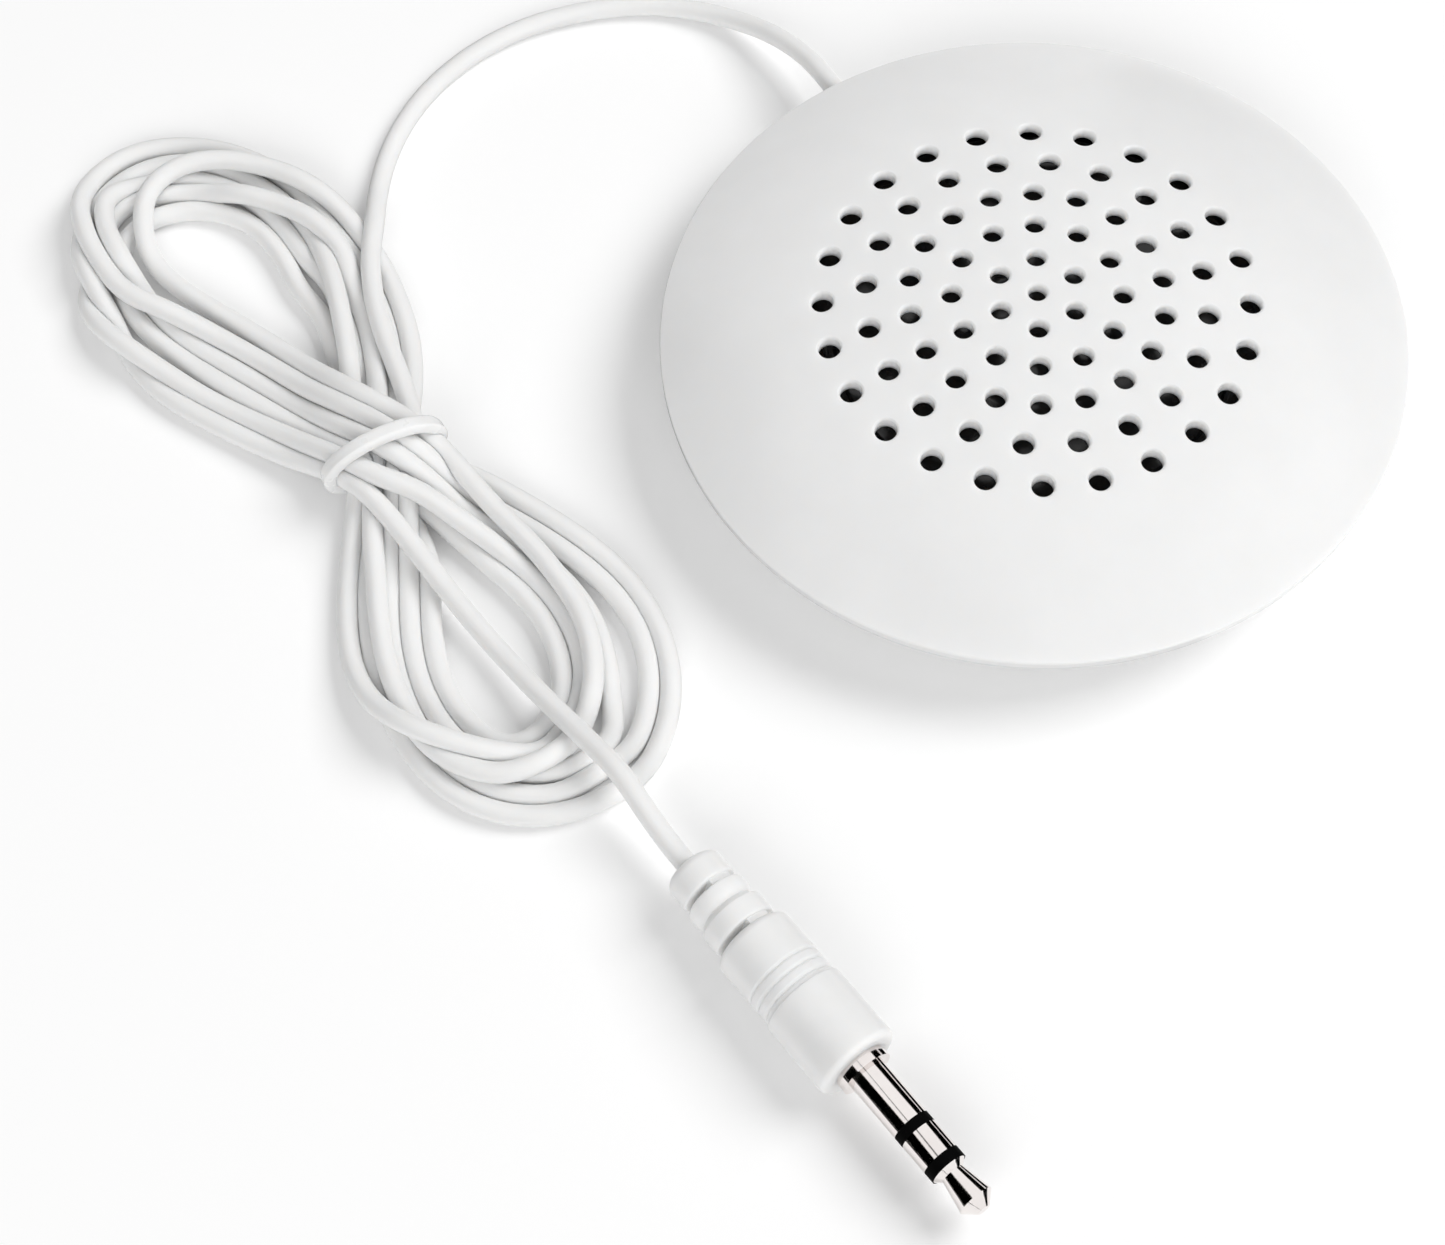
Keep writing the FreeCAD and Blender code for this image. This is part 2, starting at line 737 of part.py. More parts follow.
def core_wires():
    # Two insulated cores run from the jacket's end, under the basket's wall, into the joints on the board.
    joint_x = (s.board_near + s.board_depth / 2).value
    joint_y = s.joint_spread.value
    wire_z = (s.basket_floor_low - s.board_thick - s.core_radius).value - 0.2
    wires = []
    for label, side in (("wire_signal", 1), ("wire_return", -1)):
        points = [
            case_point(s.jacket_end.value, side * 0.5, cord_height.value),
            case_point(s.jacket_end.value - 1.4, side * 0.5, cord_height.value),
            case_point(s.jacket_end.value - 3.2, side * 1.0, cord_height.value - 1.5),
            case_point(joint_x + 3.2, side * (joint_y - 0.4), wire_z + 0.1),
            case_point(joint_x + 1.6, side * joint_y, wire_z),
            case_point(joint_x, side * joint_y, wire_z),
        ]
        wires.append(shape_object(label, tube(points, s.core_radius.value, label)))
    return wires


def solder_joints(wires):
    # Each joint is a cone of solder on the board, set round the end of its wire.
    board_low = s.basket_floor_low - s.board_thick
    cones = []
    for side in (1, -1):
        cone = doc.addObject("Part::Cone", f"solder_cone_{len(cones) + 1}")
        bind(cone, Radius1=s.joint_radius * 0.6, Radius2=s.joint_radius, Height=s.joint_length)
        place = case_point((s.board_near + s.board_depth / 2).value, side * s.joint_spread.value,
                           (board_low - s.joint_length).value)
        cone.Placement = Placement(place, Rotation())
        joint = doc.addObject("Part::Cut", f"solder_joint_{len(cones) + 1}")
        joint.Base = cone
        joint.Tool = wires[len(cones)]
        cones.append(joint)
    both = doc.addObject("Part::Compound", "solder_joints")
    both.Links = cones
    return both


def inner_tie():
    # A small nylon tie round the jacket, behind the fence.
    body = new_body("inner_tie")
    ring_sketch = new_sketch(body, "YZ_Plane", "inner_tie_ring", lift=s.inner_tie_near)
    circle(ring_sketch, s.cord_radius + s.inner_tie_thick, 0, cord_height)
    pad(body, "inner_tie_disc", ring_sketch, s.inner_tie_width)
    head = new_sketch(body, "YZ_Plane", "inner_tie_head", lift=s.inner_tie_near)
    near = s.cord_radius + s.inner_tie_thick / 2
    box_outline(head, near, near + s.inner_tie_head, cord_height - s.inner_tie_head / 2,
                cord_height + s.inner_tie_head / 2)
    pad(body, "inner_tie_block", head, s.inner_tie_width)
    bore = new_sketch(body, "YZ_Plane", "inner_tie_bore", lift=s.inner_tie_near)
    circle(bore, s.cord_radius, 0, cord_height)
    cut(body, "inner_tie_hole", bore)
    case_place(body)
    return body


# cord, hank and tie

LEAD_POINTS = [
    # from the slot down to the floor, then round the arch to the hank
    (-20.0, 38.4, 3.9), (-27.4, 45.3, 1.3), (-38.2, 47.8, 1.0), (-49.2, 45.2, 1.0),
    (-57.7, 38.4, 1.0), (-62.3, 29.4, 1.0), (-63.0, 20.2, 1.0),
]
TAIL_POINTS = [
    # from the tie, over the lower loop of the hank, down to the plug
    (-62.9, -10.2, 4.9), (-58.2, -18.2, 5.35), (-51.9, -26.6, 5.4), (-45.5, -34.9, 5.35),
    (-40.2, -41.9, 5.3),
]
HANK_OUTSIDE = [
    (-56.2, -5.6), (-56.9, 2.5), (-58.2, 10.5), (-62.0, 18.8), (-68.0, 26.6), (-76.5, 31.0),
    (-86.0, 32.2), (-92.0, 26.5), (-93.3, 16.5), (-89.8, 6.6), (-82.0, -0.8), (-73.0, -5.0),
    (-66.6, -9.0), (-66.0, -16.5), (-66.2, -26.0), (-63.8, -35.4), (-57.0, -41.5), (-48.0, -45.2),
    (-38.5, -44.9), (-33.0, -37.5), (-33.2, -27.5), (-38.4, -18.2), (-46.5, -12.4), (-53.0, -8.6),
]
UPPER_OPENING = [
    (-84.5, 17.5), (-79.5, 21.6), (-73.0, 20.2), (-69.2, 14.5), (-66.8, 3.6), (-74.0, 7.8), (-81.5, 13.2),
]
LOWER_OPENING = [
    (-56.6, -15.0), (-51.0, -19.5), (-46.2, -25.2), (-45.6, -32.0), (-50.8, -38.0), (-55.6, -33.5),
    (-56.9, -25.0),
]


def flat_loop(points):
    return rounded_route([Vector(x, y, 0) for x, y in points], closed=True)[0]


def cable_tie():
    # One smooth closed band of round section that stands upright round the waist of the hank.
    turn = Rotation(UP, s.tie_angle.value) * Rotation(Vector(1, 0, 0), 90)
    path = doc.addObject("Part::Ellipse", "tie_path")
    bind(path, MajorRadius=s.tie_half_width, MinorRadius=s.tie_half_height)
    section = doc.addObject("Part::Circle", "tie_section")
    bind(section, Radius=s.tie_wire_radius)
    centre = Vector(s.tie_x.value, s.tie_y.value, tie_height.value)
    path.Placement = Placement(centre, turn)
    end = centre + turn.multVec(Vector(s.tie_half_width.value, 0, 0))
    section.Placement = Placement(end, Rotation(UP, s.tie_angle.value))
    doc.recompute()
    band = doc.addObject("Part::Sweep", "cable_tie")
    band.Sections = [section]
    band.Spine = (path, ["Edge1"])
    band.Solid = True
    band.Frenet = False
    return band


def cord_hank():
    # The outer shape of the wound turns: a figure eight with its two openings, thick at the waist inside the tie.
    face = Part.Face([flat_loop(HANK_OUTSIDE), flat_loop(UPPER_OPENING), flat_loop(LOWER_OPENING)])
    plate = face.extrude(UP * s.hank_height.value)
    top_edges = [e for e in plate.Edges if abs(e.BoundBox.ZMin - s.hank_height.value) < 1e-6]
    plate = plate.makeFillet(s.hank_round.value, top_edges)
    turn = Rotation(UP, s.tie_angle.value)
    centre = Vector(s.tie_x.value, s.tie_y.value, 0)
    core_half = s.tie_half_width.value - s.tie_wire_radius.value - s.tie_gap.value
    core_rise = s.tie_half_height.value - s.tie_wire_radius.value - s.tie_gap.value
    waist = Part.makeSphere(1)
    stretch = FreeCAD.Matrix()
    swell = s.waist_swell.value
    stretch.scale(core_half + swell, s.waist_half_length.value, core_rise + swell)
    waist = waist.transformGeometry(stretch)
    waist.Placement = Placement(centre + UP * tie_height.value, turn)
    groove_width = 2 * (s.tie_wire_radius + s.tie_gap).value
    groove = Part.makeBox(30, groove_width, 20, Vector(-15, -groove_width / 2, -5))
    core_edge = Part.Ellipse(Vector(0, 0, 0), core_half, core_rise).toShape()
    core = Part.Face(Part.Wire([core_edge])).extrude(UP * groove_width)
    core.Placement = Placement(Vector(0, groove_width / 2, tie_height.value), Rotation(Vector(1, 0, 0), 90))
    groove = groove.cut(core)
    groove.Placement = Placement(centre, turn)
    solid = plate.fuse(waist).cut(groove).removeSplitter()
    return shape_object("cord_hank", solid.Solids[0] if len(solid.Solids) == 1 else solid)


def cord_tubes(hank):
    radius = s.cord_radius.value
    slot_run = [case_point(x, 0, cord_height.value) for x in (s.jacket_end.value, s.cord_turn.value)]
    lead = tube(slot_run + [Vector(*p) for p in LEAD_POINTS], radius, "cord_lead")
    plug_run = [plug_point(-s.plug_run.value), plug_point(0)]
    tail = tube([Vector(*p) for p in TAIL_POINTS] + plug_run, radius, "cord_tail")
    lead, tail = lead.cut(hank.Shape), tail.cut(hank.Shape)
    return [shape_object("cord_lead", lead.Solids[0]), shape_object("cord_tail", tail.Solids[0])]


# plug, drawn with its axis on +X and its cord end at the origin

def turned_piece(label, corners):
    body = new_body(label)
    sketch = new_sketch(body, "XY_Plane", label + "_section")
    outline(sketch, corners)
    revolve(body, label + "_turning", sketch, axis="H_Axis")
    return body


core_mould_end = s.core_mould_near + s.core_mould_length
spigot_start = barrel_front - s.spigot_length
rear_ends = [spigot_start - s.terminal_step * number for number in range(5)]
collar_front = barrel_front + s.collar_length
sleeve_front = collar_front + s.sleeve_length
ring_rear = sleeve_front + s.rear_band_length
ring_front = ring_rear + s.ring_length
tip_rear = ring_front + s.front_band_length


def plug_moulding():
    relief = s.relief_radius
    middle_relief = s.relief_middle_radius
    front_relief = s.relief_front_radius
    recess = s.relief_recess
    slit = s.slit_width
    first = s.relief_length * 0.34
    valley = s.relief_length * 0.63
    last = s.relief_length - slit
    step = s.relief_length + s.barrel_step
    dip = s.barrel_rear_radius - s.groove_depth
    grooves = []
    for number in (2, 1, 0):
        middle = step - s.groove_pitch * (number + 0.5)
        grooves += [(middle - s.groove_depth * 1.5, s.barrel_rear_radius), (middle, dip),
                    (middle + s.groove_depth * 1.5, s.barrel_rear_radius)]
    body = turned_piece("plug_moulding", [
        (0, 0),
        (0, relief),
        (first, relief),
        (first, relief - recess),
        (first + slit, relief - recess),
        (first + slit, middle_relief),
        (valley - slit, middle_relief),
        (valley, s.relief_valley_radius),
        (valley + slit, front_relief),
        (last, front_relief),
        (last, front_relief - recess),
        (s.relief_length, front_relief - recess),
        (s.relief_length, s.barrel_rear_radius),
        *grooves,
        (step, s.barrel_rear_radius),
        (step, s.barrel_radius),
        (barrel_front, s.barrel_radius),
        (barrel_front, s.spigot_radius),
        (core_mould_end, s.spigot_radius),
        (core_mould_end, s.core_mould_radius),
        (s.core_mould_near, s.core_mould_radius),
        (s.core_mould_near, 0),
    ])
    place = 0.0
    soften(body, "relief_end_rounding", [(relief, place)], 0.9)
    soften(body, "relief_rounding", [(relief, first), (middle_relief, first + slit)], 0.25)
    soften(body, "relief_front_rounding", [(front_relief, last)], 0.25)
    soften(body, "barrel_rear_rounding", [(s.barrel_rear_radius, s.relief_length)], 0.8)
    soften(body, "barrel_step_rounding", [(s.barrel_radius, step)], 0.15)
    soften(body, "barrel_front_rounding", [(s.barrel_radius, barrel_front)], 0.6)
    slits = new_sketch(body, "XY_Plane", "slit_outlines", roll=s.slit_roll)
    outside = s.barrel_radius * 1.5
    for near in (first, last):
        box_outline(slits, near, near + slit, s.slit_web, outside)
        box_outline(slits, near, near + slit, -outside, -s.slit_web)
    cut(body, "relief_slits", slits)
    plug_place(body)
    return body


def plug_inner_mould():
    bores = [s.spigot_radius, s.bore_sleeve, s.bore_ring, s.bore_band, s.rod_radius]
    steps = [(core_mould_end, bores[0])]
    for number, bore in enumerate(bores):
        steps.append((rear_ends[number], bore))
        steps.append((rear_ends[number], bores[number + 1] if number < 4 else 0))
    body = turned_piece("plug_inner_mould", [
        (s.core_mould_near, 0),
        (s.core_mould_near, s.core_mould_radius),
        (core_mould_end, s.core_mould_radius),
        *steps,
    ])
    plug_place(body)
    return body


def plug_metal():
    sleeve = turned_piece("plug_sleeve", [
        (rear_ends[0], s.bore_sleeve),
        (rear_ends[0], s.spigot_radius),
        (barrel_front, s.spigot_radius),
        (barrel_front, s.collar_radius),
        (collar_front, s.collar_radius),
        (collar_front, s.shaft_radius),
        (sleeve_front, s.shaft_radius),
        (sleeve_front, s.bore_sleeve),
    ])
    rear_band = turned_piece("plug_insulator_rear", [
        (rear_ends[1], s.bore_ring),
        (rear_ends[1], s.bore_sleeve),
        (sleeve_front, s.bore_sleeve),
        (sleeve_front, s.shaft_radius),
        (ring_rear, s.shaft_radius),
        (ring_rear, s.bore_ring),
    ])
    ring_contact = turned_piece("plug_ring", [
        (rear_ends[2], s.bore_band),
        (rear_ends[2], s.bore_ring),
        (ring_rear, s.bore_ring),
        (ring_rear, s.shaft_radius),
        (ring_front, s.shaft_radius),
        (ring_front, s.bore_band),
    ])
    front_band = turned_piece("plug_insulator_front", [
        (rear_ends[3], s.rod_radius),
        (rear_ends[3], s.bore_band),
        (ring_front, s.bore_band),
        (ring_front, s.shaft_radius),
        (tip_rear, s.shaft_radius),
        (tip_rear, s.rod_radius),
    ])
    shoulder_front = tip_rear + s.tip_shoulder_length
    flare_front = shoulder_front + s.tip_flare_length
    tip = turned_piece("plug_tip", [
        (rear_ends[4], 0),
        (rear_ends[4], s.rod_radius),
        (tip_rear, s.rod_radius),
        (tip_rear, s.tip_shoulder),
        (shoulder_front, s.tip_neck),
        (flare_front, s.tip_flare),
        (flare_front + s.tip_cone_length, s.tip_end),
        (flare_front + s.tip_cone_length, 0),
    ])
    pieces = [sleeve, rear_band, ring_contact, front_band, tip]
    for piece in pieces:
        plug_place(piece)
    return pieces


def main():
    wires = core_wires()
    hank = cord_hank()
    nodes = [top_shell(), bottom_shell(), diaphragm(), driver_basket(), yoke_cup(), *driver_rings(),
             terminal_board(), *wires, solder_joints(wires), inner_tie(), hank, *cord_tubes(hank),
             cable_tie(), plug_moulding(), plug_inner_mould(), *plug_metal()]
    doc.recompute()
    for thing in doc.Objects:
        if {"Invalid", "Error"} & set(thing.State):
            sys.exit(f"{thing.Name}: {thing.State}")
    for node in nodes:
        if node.Shape.isNull() or not node.Shape.isValid() or not node.Shape.Solids:
            sys.exit(f"{node.Label}: the shape isn't a valid solid")
    os.makedirs("parts", exist_ok=True)
    for node in nodes:
        node.Shape.exportStep(f"parts/{node.Label}.step")
        print(f"{node.Label}: {len(node.Shape.Solids)} solid, {node.Shape.Volume:.1f} mm3")


main()
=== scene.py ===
import math
import bmesh
import bpy
import numpy as np
from mathutils import Matrix, Vector


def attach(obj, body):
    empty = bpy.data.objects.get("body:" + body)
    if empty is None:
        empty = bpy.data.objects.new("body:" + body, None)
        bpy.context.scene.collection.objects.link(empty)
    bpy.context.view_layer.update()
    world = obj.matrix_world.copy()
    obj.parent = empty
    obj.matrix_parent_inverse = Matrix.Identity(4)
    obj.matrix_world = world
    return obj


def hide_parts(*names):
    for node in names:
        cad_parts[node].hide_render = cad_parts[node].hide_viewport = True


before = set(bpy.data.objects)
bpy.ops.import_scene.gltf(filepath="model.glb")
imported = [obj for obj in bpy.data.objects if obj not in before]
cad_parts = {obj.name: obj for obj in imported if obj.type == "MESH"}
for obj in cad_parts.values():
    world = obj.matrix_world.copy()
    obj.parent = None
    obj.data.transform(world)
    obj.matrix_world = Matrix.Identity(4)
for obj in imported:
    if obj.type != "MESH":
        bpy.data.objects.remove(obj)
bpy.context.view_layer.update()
mm = 0.001
print("frame loaded")

# camera: an upright view from in front, steeply down
cameraSet = {"place": (-30.3, -158.1, 241.5), "lookDown": 61.16, "roll": -2.68, "lens": 74.74}


def makeCamera(values):
    down, roll = math.radians(values["lookDown"]), math.radians(values["roll"])
    forward = Vector((0, math.cos(down), -math.sin(down)))
    level = Vector((1, 0, 0))
    upright = level.cross(forward)
    right = level * math.cos(roll) + upright * math.sin(roll)
    up = upright * math.cos(roll) - level * math.sin(roll)
    data = bpy.data.cameras.new("camera")
    data.lens = values["lens"]
    data.sensor_width = 36
    data.clip_start, data.clip_end = 0.01, 20
    camera = bpy.data.objects.new("camera", data)
    turn = Matrix((right, up, -forward)).transposed()
    camera.matrix_world = Matrix.Translation(Vector(values["place"]) * mm) @ turn.to_4x4()
    bpy.context.scene.collection.objects.link(camera)
    bpy.context.scene.camera = camera


makeCamera(cameraSet)


# helpers for pieces
def linkPiece(name, data):
    piece = bpy.data.objects.new(name, data)
    bpy.context.scene.collection.objects.link(piece)
    return piece


def makePlain(piece):
    # puts the evaluated mesh in the piece, with no modifier left on it
    graph = bpy.context.evaluated_depsgraph_get()
    made = bpy.data.meshes.new_from_object(piece.evaluated_get(graph), depsgraph=graph)
    piece.modifiers.clear()
    old = piece.data
    piece.data = made
    bpy.data.meshes.remove(old)


def hasFinish(piece, slotName):
    # the record's slot and the finish of the same name
    piece.data.materials.clear()
    piece.data.materials.append(finishes[slotName])
    return piece


# finishes: a mottling mixes two colours and a span of roughness, and a fine grain gives the bump;
# in mm: mottle, grain, bump, glow (how far light scatters inside) and lines (width of turning marks)
finishes = {}
plasticValues = {
    "white_case": {"colour": (0.88, 0.88, 0.877), "shade": (0.86, 0.86, 0.857), "rough": (0.20, 0.27),
                   "mottle": 6.0, "grain": 0.35, "bump": 0.0012, "glow": 1.0},
    "white_cord": {"colour": (0.87, 0.87, 0.866), "shade": (0.835, 0.835, 0.83), "rough": (0.38, 0.5),
                   "mottle": 9.0, "grain": 0.22, "bump": 0.006, "glow": 0.5},
    "tie_coating": {"colour": (0.89, 0.89, 0.887), "shade": (0.86, 0.86, 0.857), "rough": (0.25, 0.34),
                    "mottle": 3.0, "grain": 0.3, "bump": 0.002, "glow": 0.8},
    "white_moulding": {"colour": (0.88, 0.88, 0.876), "shade": (0.85, 0.85, 0.846), "rough": (0.3, 0.4),
                       "mottle": 4.0, "grain": 0.18, "bump": 0.004, "glow": 0.8},
    "inner_mould": {"colour": (0.62, 0.61, 0.58), "shade": (0.55, 0.54, 0.51), "rough": (0.35, 0.5),
                    "mottle": 3.0, "grain": 0.3, "bump": 0.004},
    "black_film": {"colour": (0.012, 0.012, 0.013), "shade": (0.018, 0.018, 0.019),
                   "rough": (0.09, 0.16), "mottle": 5.0, "grain": 1.3, "bump": 0.01},
    "black_basket": {"colour": (0.02, 0.02, 0.021), "shade": (0.03, 0.03, 0.031), "rough": (0.4, 0.55),
                     "mottle": 4.0, "grain": 0.25, "bump": 0.01},
    "black_gasket": {"colour": (0.018, 0.018, 0.018), "shade": (0.03, 0.03, 0.03), "rough": (0.75, 0.9),
                     "mottle": 2.0, "grain": 0.15, "bump": 0.02},
    "vent_cloth": {"colour": (0.03, 0.03, 0.032), "shade": (0.08, 0.08, 0.085), "rough": (0.85, 0.95),
                   "mottle": 1.5, "grain": 0.12, "bump": 0.03},
    "grey_foam": {"colour": (0.16, 0.16, 0.165), "shade": (0.05, 0.05, 0.052), "rough": (0.9, 1.0),
                  "mottle": 0.5, "grain": 0.25, "bump": 0.08},
    "board": {"colour": (0.33, 0.22, 0.10), "shade": (0.27, 0.17, 0.07), "rough": (0.45, 0.6),
              "mottle": 1.2, "grain": 0.2, "bump": 0.004},
    "core_red": {"colour": (0.45, 0.03, 0.02), "shade": (0.36, 0.02, 0.015), "rough": (0.35, 0.45),
                 "mottle": 4.0, "grain": 0.2, "bump": 0.003},
    "core_black": {"colour": (0.02, 0.02, 0.02), "shade": (0.03, 0.03, 0.03), "rough": (0.35, 0.45),
                   "mottle": 4.0, "grain": 0.2, "bump": 0.003},
    "nylon": {"colour": (0.62, 0.61, 0.57), "shade": (0.55, 0.54, 0.5), "rough": (0.35, 0.45),
              "mottle": 2.0, "grain": 0.2, "bump": 0.004},
    "black_band": {"colour": (0.002, 0.002, 0.002), "shade": (0.003, 0.003, 0.003), "rough": (0.5, 0.6),
                   "mottle": 1.0, "grain": 0.1, "bump": 0.002, "shine": 0.02},
}
metalValues = {
    "plug_nickel": {"colour": (0.90, 0.86, 0.84), "shade": (0.84, 0.79, 0.77), "rough": (0.07, 0.13),
                    "lines": 0.09, "bump": 0.0008, "turn": -54.2},
    "plated_steel": {"colour": (0.62, 0.61, 0.58), "shade": (0.52, 0.52, 0.5), "rough": (0.2, 0.34),
                     "lines": 0.4, "bump": 0.002, "turn": 0},
    "magnet_nickel": {"colour": (0.66, 0.64, 0.6), "shade": (0.56, 0.55, 0.52), "rough": (0.12, 0.22),
                      "lines": 0.5, "bump": 0.001, "turn": 0},
    "copper_coil": {"colour": (0.75, 0.28, 0.12), "shade": (0.55, 0.17, 0.07), "rough": (0.25, 0.35),
                    "lines": 0.12, "bump": 0.02, "turn": 0},
    "solder": {"colour": (0.6, 0.6, 0.6), "shade": (0.45, 0.45, 0.46), "rough": (0.18, 0.35),
               "lines": 0.9, "bump": 0.01, "turn": 0},
}


def newFinish(name):
    material = bpy.data.materials.new(name)
    material.use_nodes = True
    tree = material.node_tree
    place = tree.nodes.new("ShaderNodeTexCoord").outputs["Object"]
    return material, tree, tree.nodes["Principled BSDF"], place


def noiseNode(tree, place, size, detail=3.0):
    # a noise texture whose lumps are about so many millimetres wide
    noise = tree.nodes.new("ShaderNodeTexNoise")
    noise.inputs["Scale"].default_value = 1 / (size * mm)
    noise.inputs["Detail"].default_value = detail
    tree.links.new(place, noise.inputs["Vector"])
    return noise.outputs["Fac"]


def mapRange(tree, value, span, result):
    # takes a value from one span to another
    node = tree.nodes.new("ShaderNodeMapRange")
    for label, number in zip(("From Min", "From Max", "To Min", "To Max"), (*span, *result)):
        node.inputs[label].default_value = number
    tree.links.new(value, node.inputs["Value"])
    return node.outputs["Result"]


def spreadNode(tree, noise, low, high):
    # a noise texture's values lie mostly between 0.3 and 0.7
    return mapRange(tree, noise, (0.3, 0.7), (low, high))


def mixColours(tree, value, first, second):
    mix = tree.nodes.new("ShaderNodeMix")
    mix.data_type = "RGBA"
    mix.inputs["A"].default_value = (*first, 1)
    mix.inputs["B"].default_value = (*second, 1)
    tree.links.new(value, mix.inputs["Factor"])
    return mix.outputs["Result"]


def bumpNode(tree, height, deep):
    bump = tree.nodes.new("ShaderNodeBump")
    bump.inputs["Strength"].default_value = 1
    bump.inputs["Distance"].default_value = deep * mm
    tree.links.new(height, bump.inputs["Height"])
    return bump.outputs["Normal"]


def plasticFinish(name, values):
    material, tree, shader, place = newFinish(name)
    mottle = noiseNode(tree, place, values["mottle"])
    grain = noiseNode(tree, place, values["grain"], 2.0)
    colour = mixColours(tree, spreadNode(tree, mottle, 0, 1), values["colour"], values["shade"])
    tree.links.new(colour, shader.inputs["Base Color"])
    tree.links.new(spreadNode(tree, mottle, *values["rough"]), shader.inputs["Roughness"])
    tree.links.new(bumpNode(tree, grain, values["bump"]), shader.inputs["Normal"])
    shader.inputs["Specular IOR Level"].default_value = values.get("shine", 0.5)
    if "glow" in values:
        # light scatters inside white plastic, and red light a little farther
        shader.inputs["Subsurface Weight"].default_value = 1
        shader.inputs["Subsurface Radius"].default_value = (1, 0.96, 0.92)
        shader.inputs["Subsurface Scale"].default_value = values["glow"] * mm
    return material


def metalFinish(name, values):
    # turned or drawn metal: fine rings round the piece's axis, and stains over them
    material, tree, shader, place = newFinish(name)
    turn = tree.nodes.new("ShaderNodeMapping")
    turn.inputs["Rotation"].default_value = (0, 0, -math.radians(values["turn"]))
    # the noise is drawn out square to the axis: X on the plug, Z on the driver's pieces
    drawn = 0.02
    turn.inputs["Scale"].default_value = (1, drawn, drawn) if values["turn"] else (drawn, drawn, 1)
    tree.links.new(place, turn.inputs["Vector"])
    lines = noiseNode(tree, turn.outputs["Vector"], values["lines"], 2.0)
    stain = noiseNode(tree, place, 2.5)
    colour = mixColours(tree, spreadNode(tree, stain, 0, 1), values["colour"], values["shade"])
    shader.inputs["Metallic"].default_value = 1
    tree.links.new(colour, shader.inputs["Base Color"])
    tree.links.new(spreadNode(tree, lines, *values["rough"]), shader.inputs["Roughness"])
    tree.links.new(bumpNode(tree, lines, values["bump"]), shader.inputs["Normal"])
    return material


for slotName, values in plasticValues.items():
    finishes[slotName] = plasticFinish(slotName, values)
for slotName, values in metalValues.items():
    finishes[slotName] = metalFinish(slotName, values)
print("finishes made")


# cord: one length from the case, wound six times into a figure eight, and out to the plug
cordSet = {
    # the route's ends, in mm: from inside the case to the hank, and from the hank into the plug
    "diameter": 2.0,
    "lead": [(-12.84, 24.66, 5.25), (-15.70, 30.16, 5.25), (-20.0, 38.4, 3.9), (-27.4, 45.3, 1.3),
             (-38.2, 47.8, 1.0), (-49.2, 45.2, 1.0), (-57.7, 38.4, 1.0), (-62.3, 29.4, 2.2),
             (-63.2, 20.2, 4.9), (-63.4, 13.0, 5.2), (-62.6, 5.9, 5.0), (-60.3, -0.6, 4.6)],
    "tail": [(-58.2, -18.2, 5.35), (-51.9, -26.6, 5.4), (-45.5, -34.9, 5.35), (-40.2, -41.9, 5.3),
             (-36.67, -47.73, 3.9), (-34.1, -51.3, 3.9)],
    "spacing": 2.2,
    # how many points stay where they are in the case and at the plug, and how many on either side
    # of a point are too near along the cord to be pushed away from it
    "fixed": (16, 6), "neighbours": 4,
    # the pull to the drawn route grows between these distances from the tie
    "pullSpan": (7, 14),
    # the parts of an error mended at a time, and how often and how far close pairs are looked for
    "lengthShare": 0.25, "pushShare": 0.38, "lookEach": 3, "lookReach": 1.4,
    # first the turns take shape and sink to the floor, then they are only pushed clear of each other
    "stages": [{"rounds": 400, "passes": 2, "bend": 0.25, "hold": 0.03, "sink": 0.02, "apart": 2.0},
               {"rounds": 120, "passes": 5, "bend": 0.06, "hold": 0.0, "sink": 0.0, "apart": 2.03}],
    # how far apart the cords' middles lie in the tie, and how far along the hank it presses on them
    "squeezed": 1.72, "pressed": 5, "held": 1.3,
}
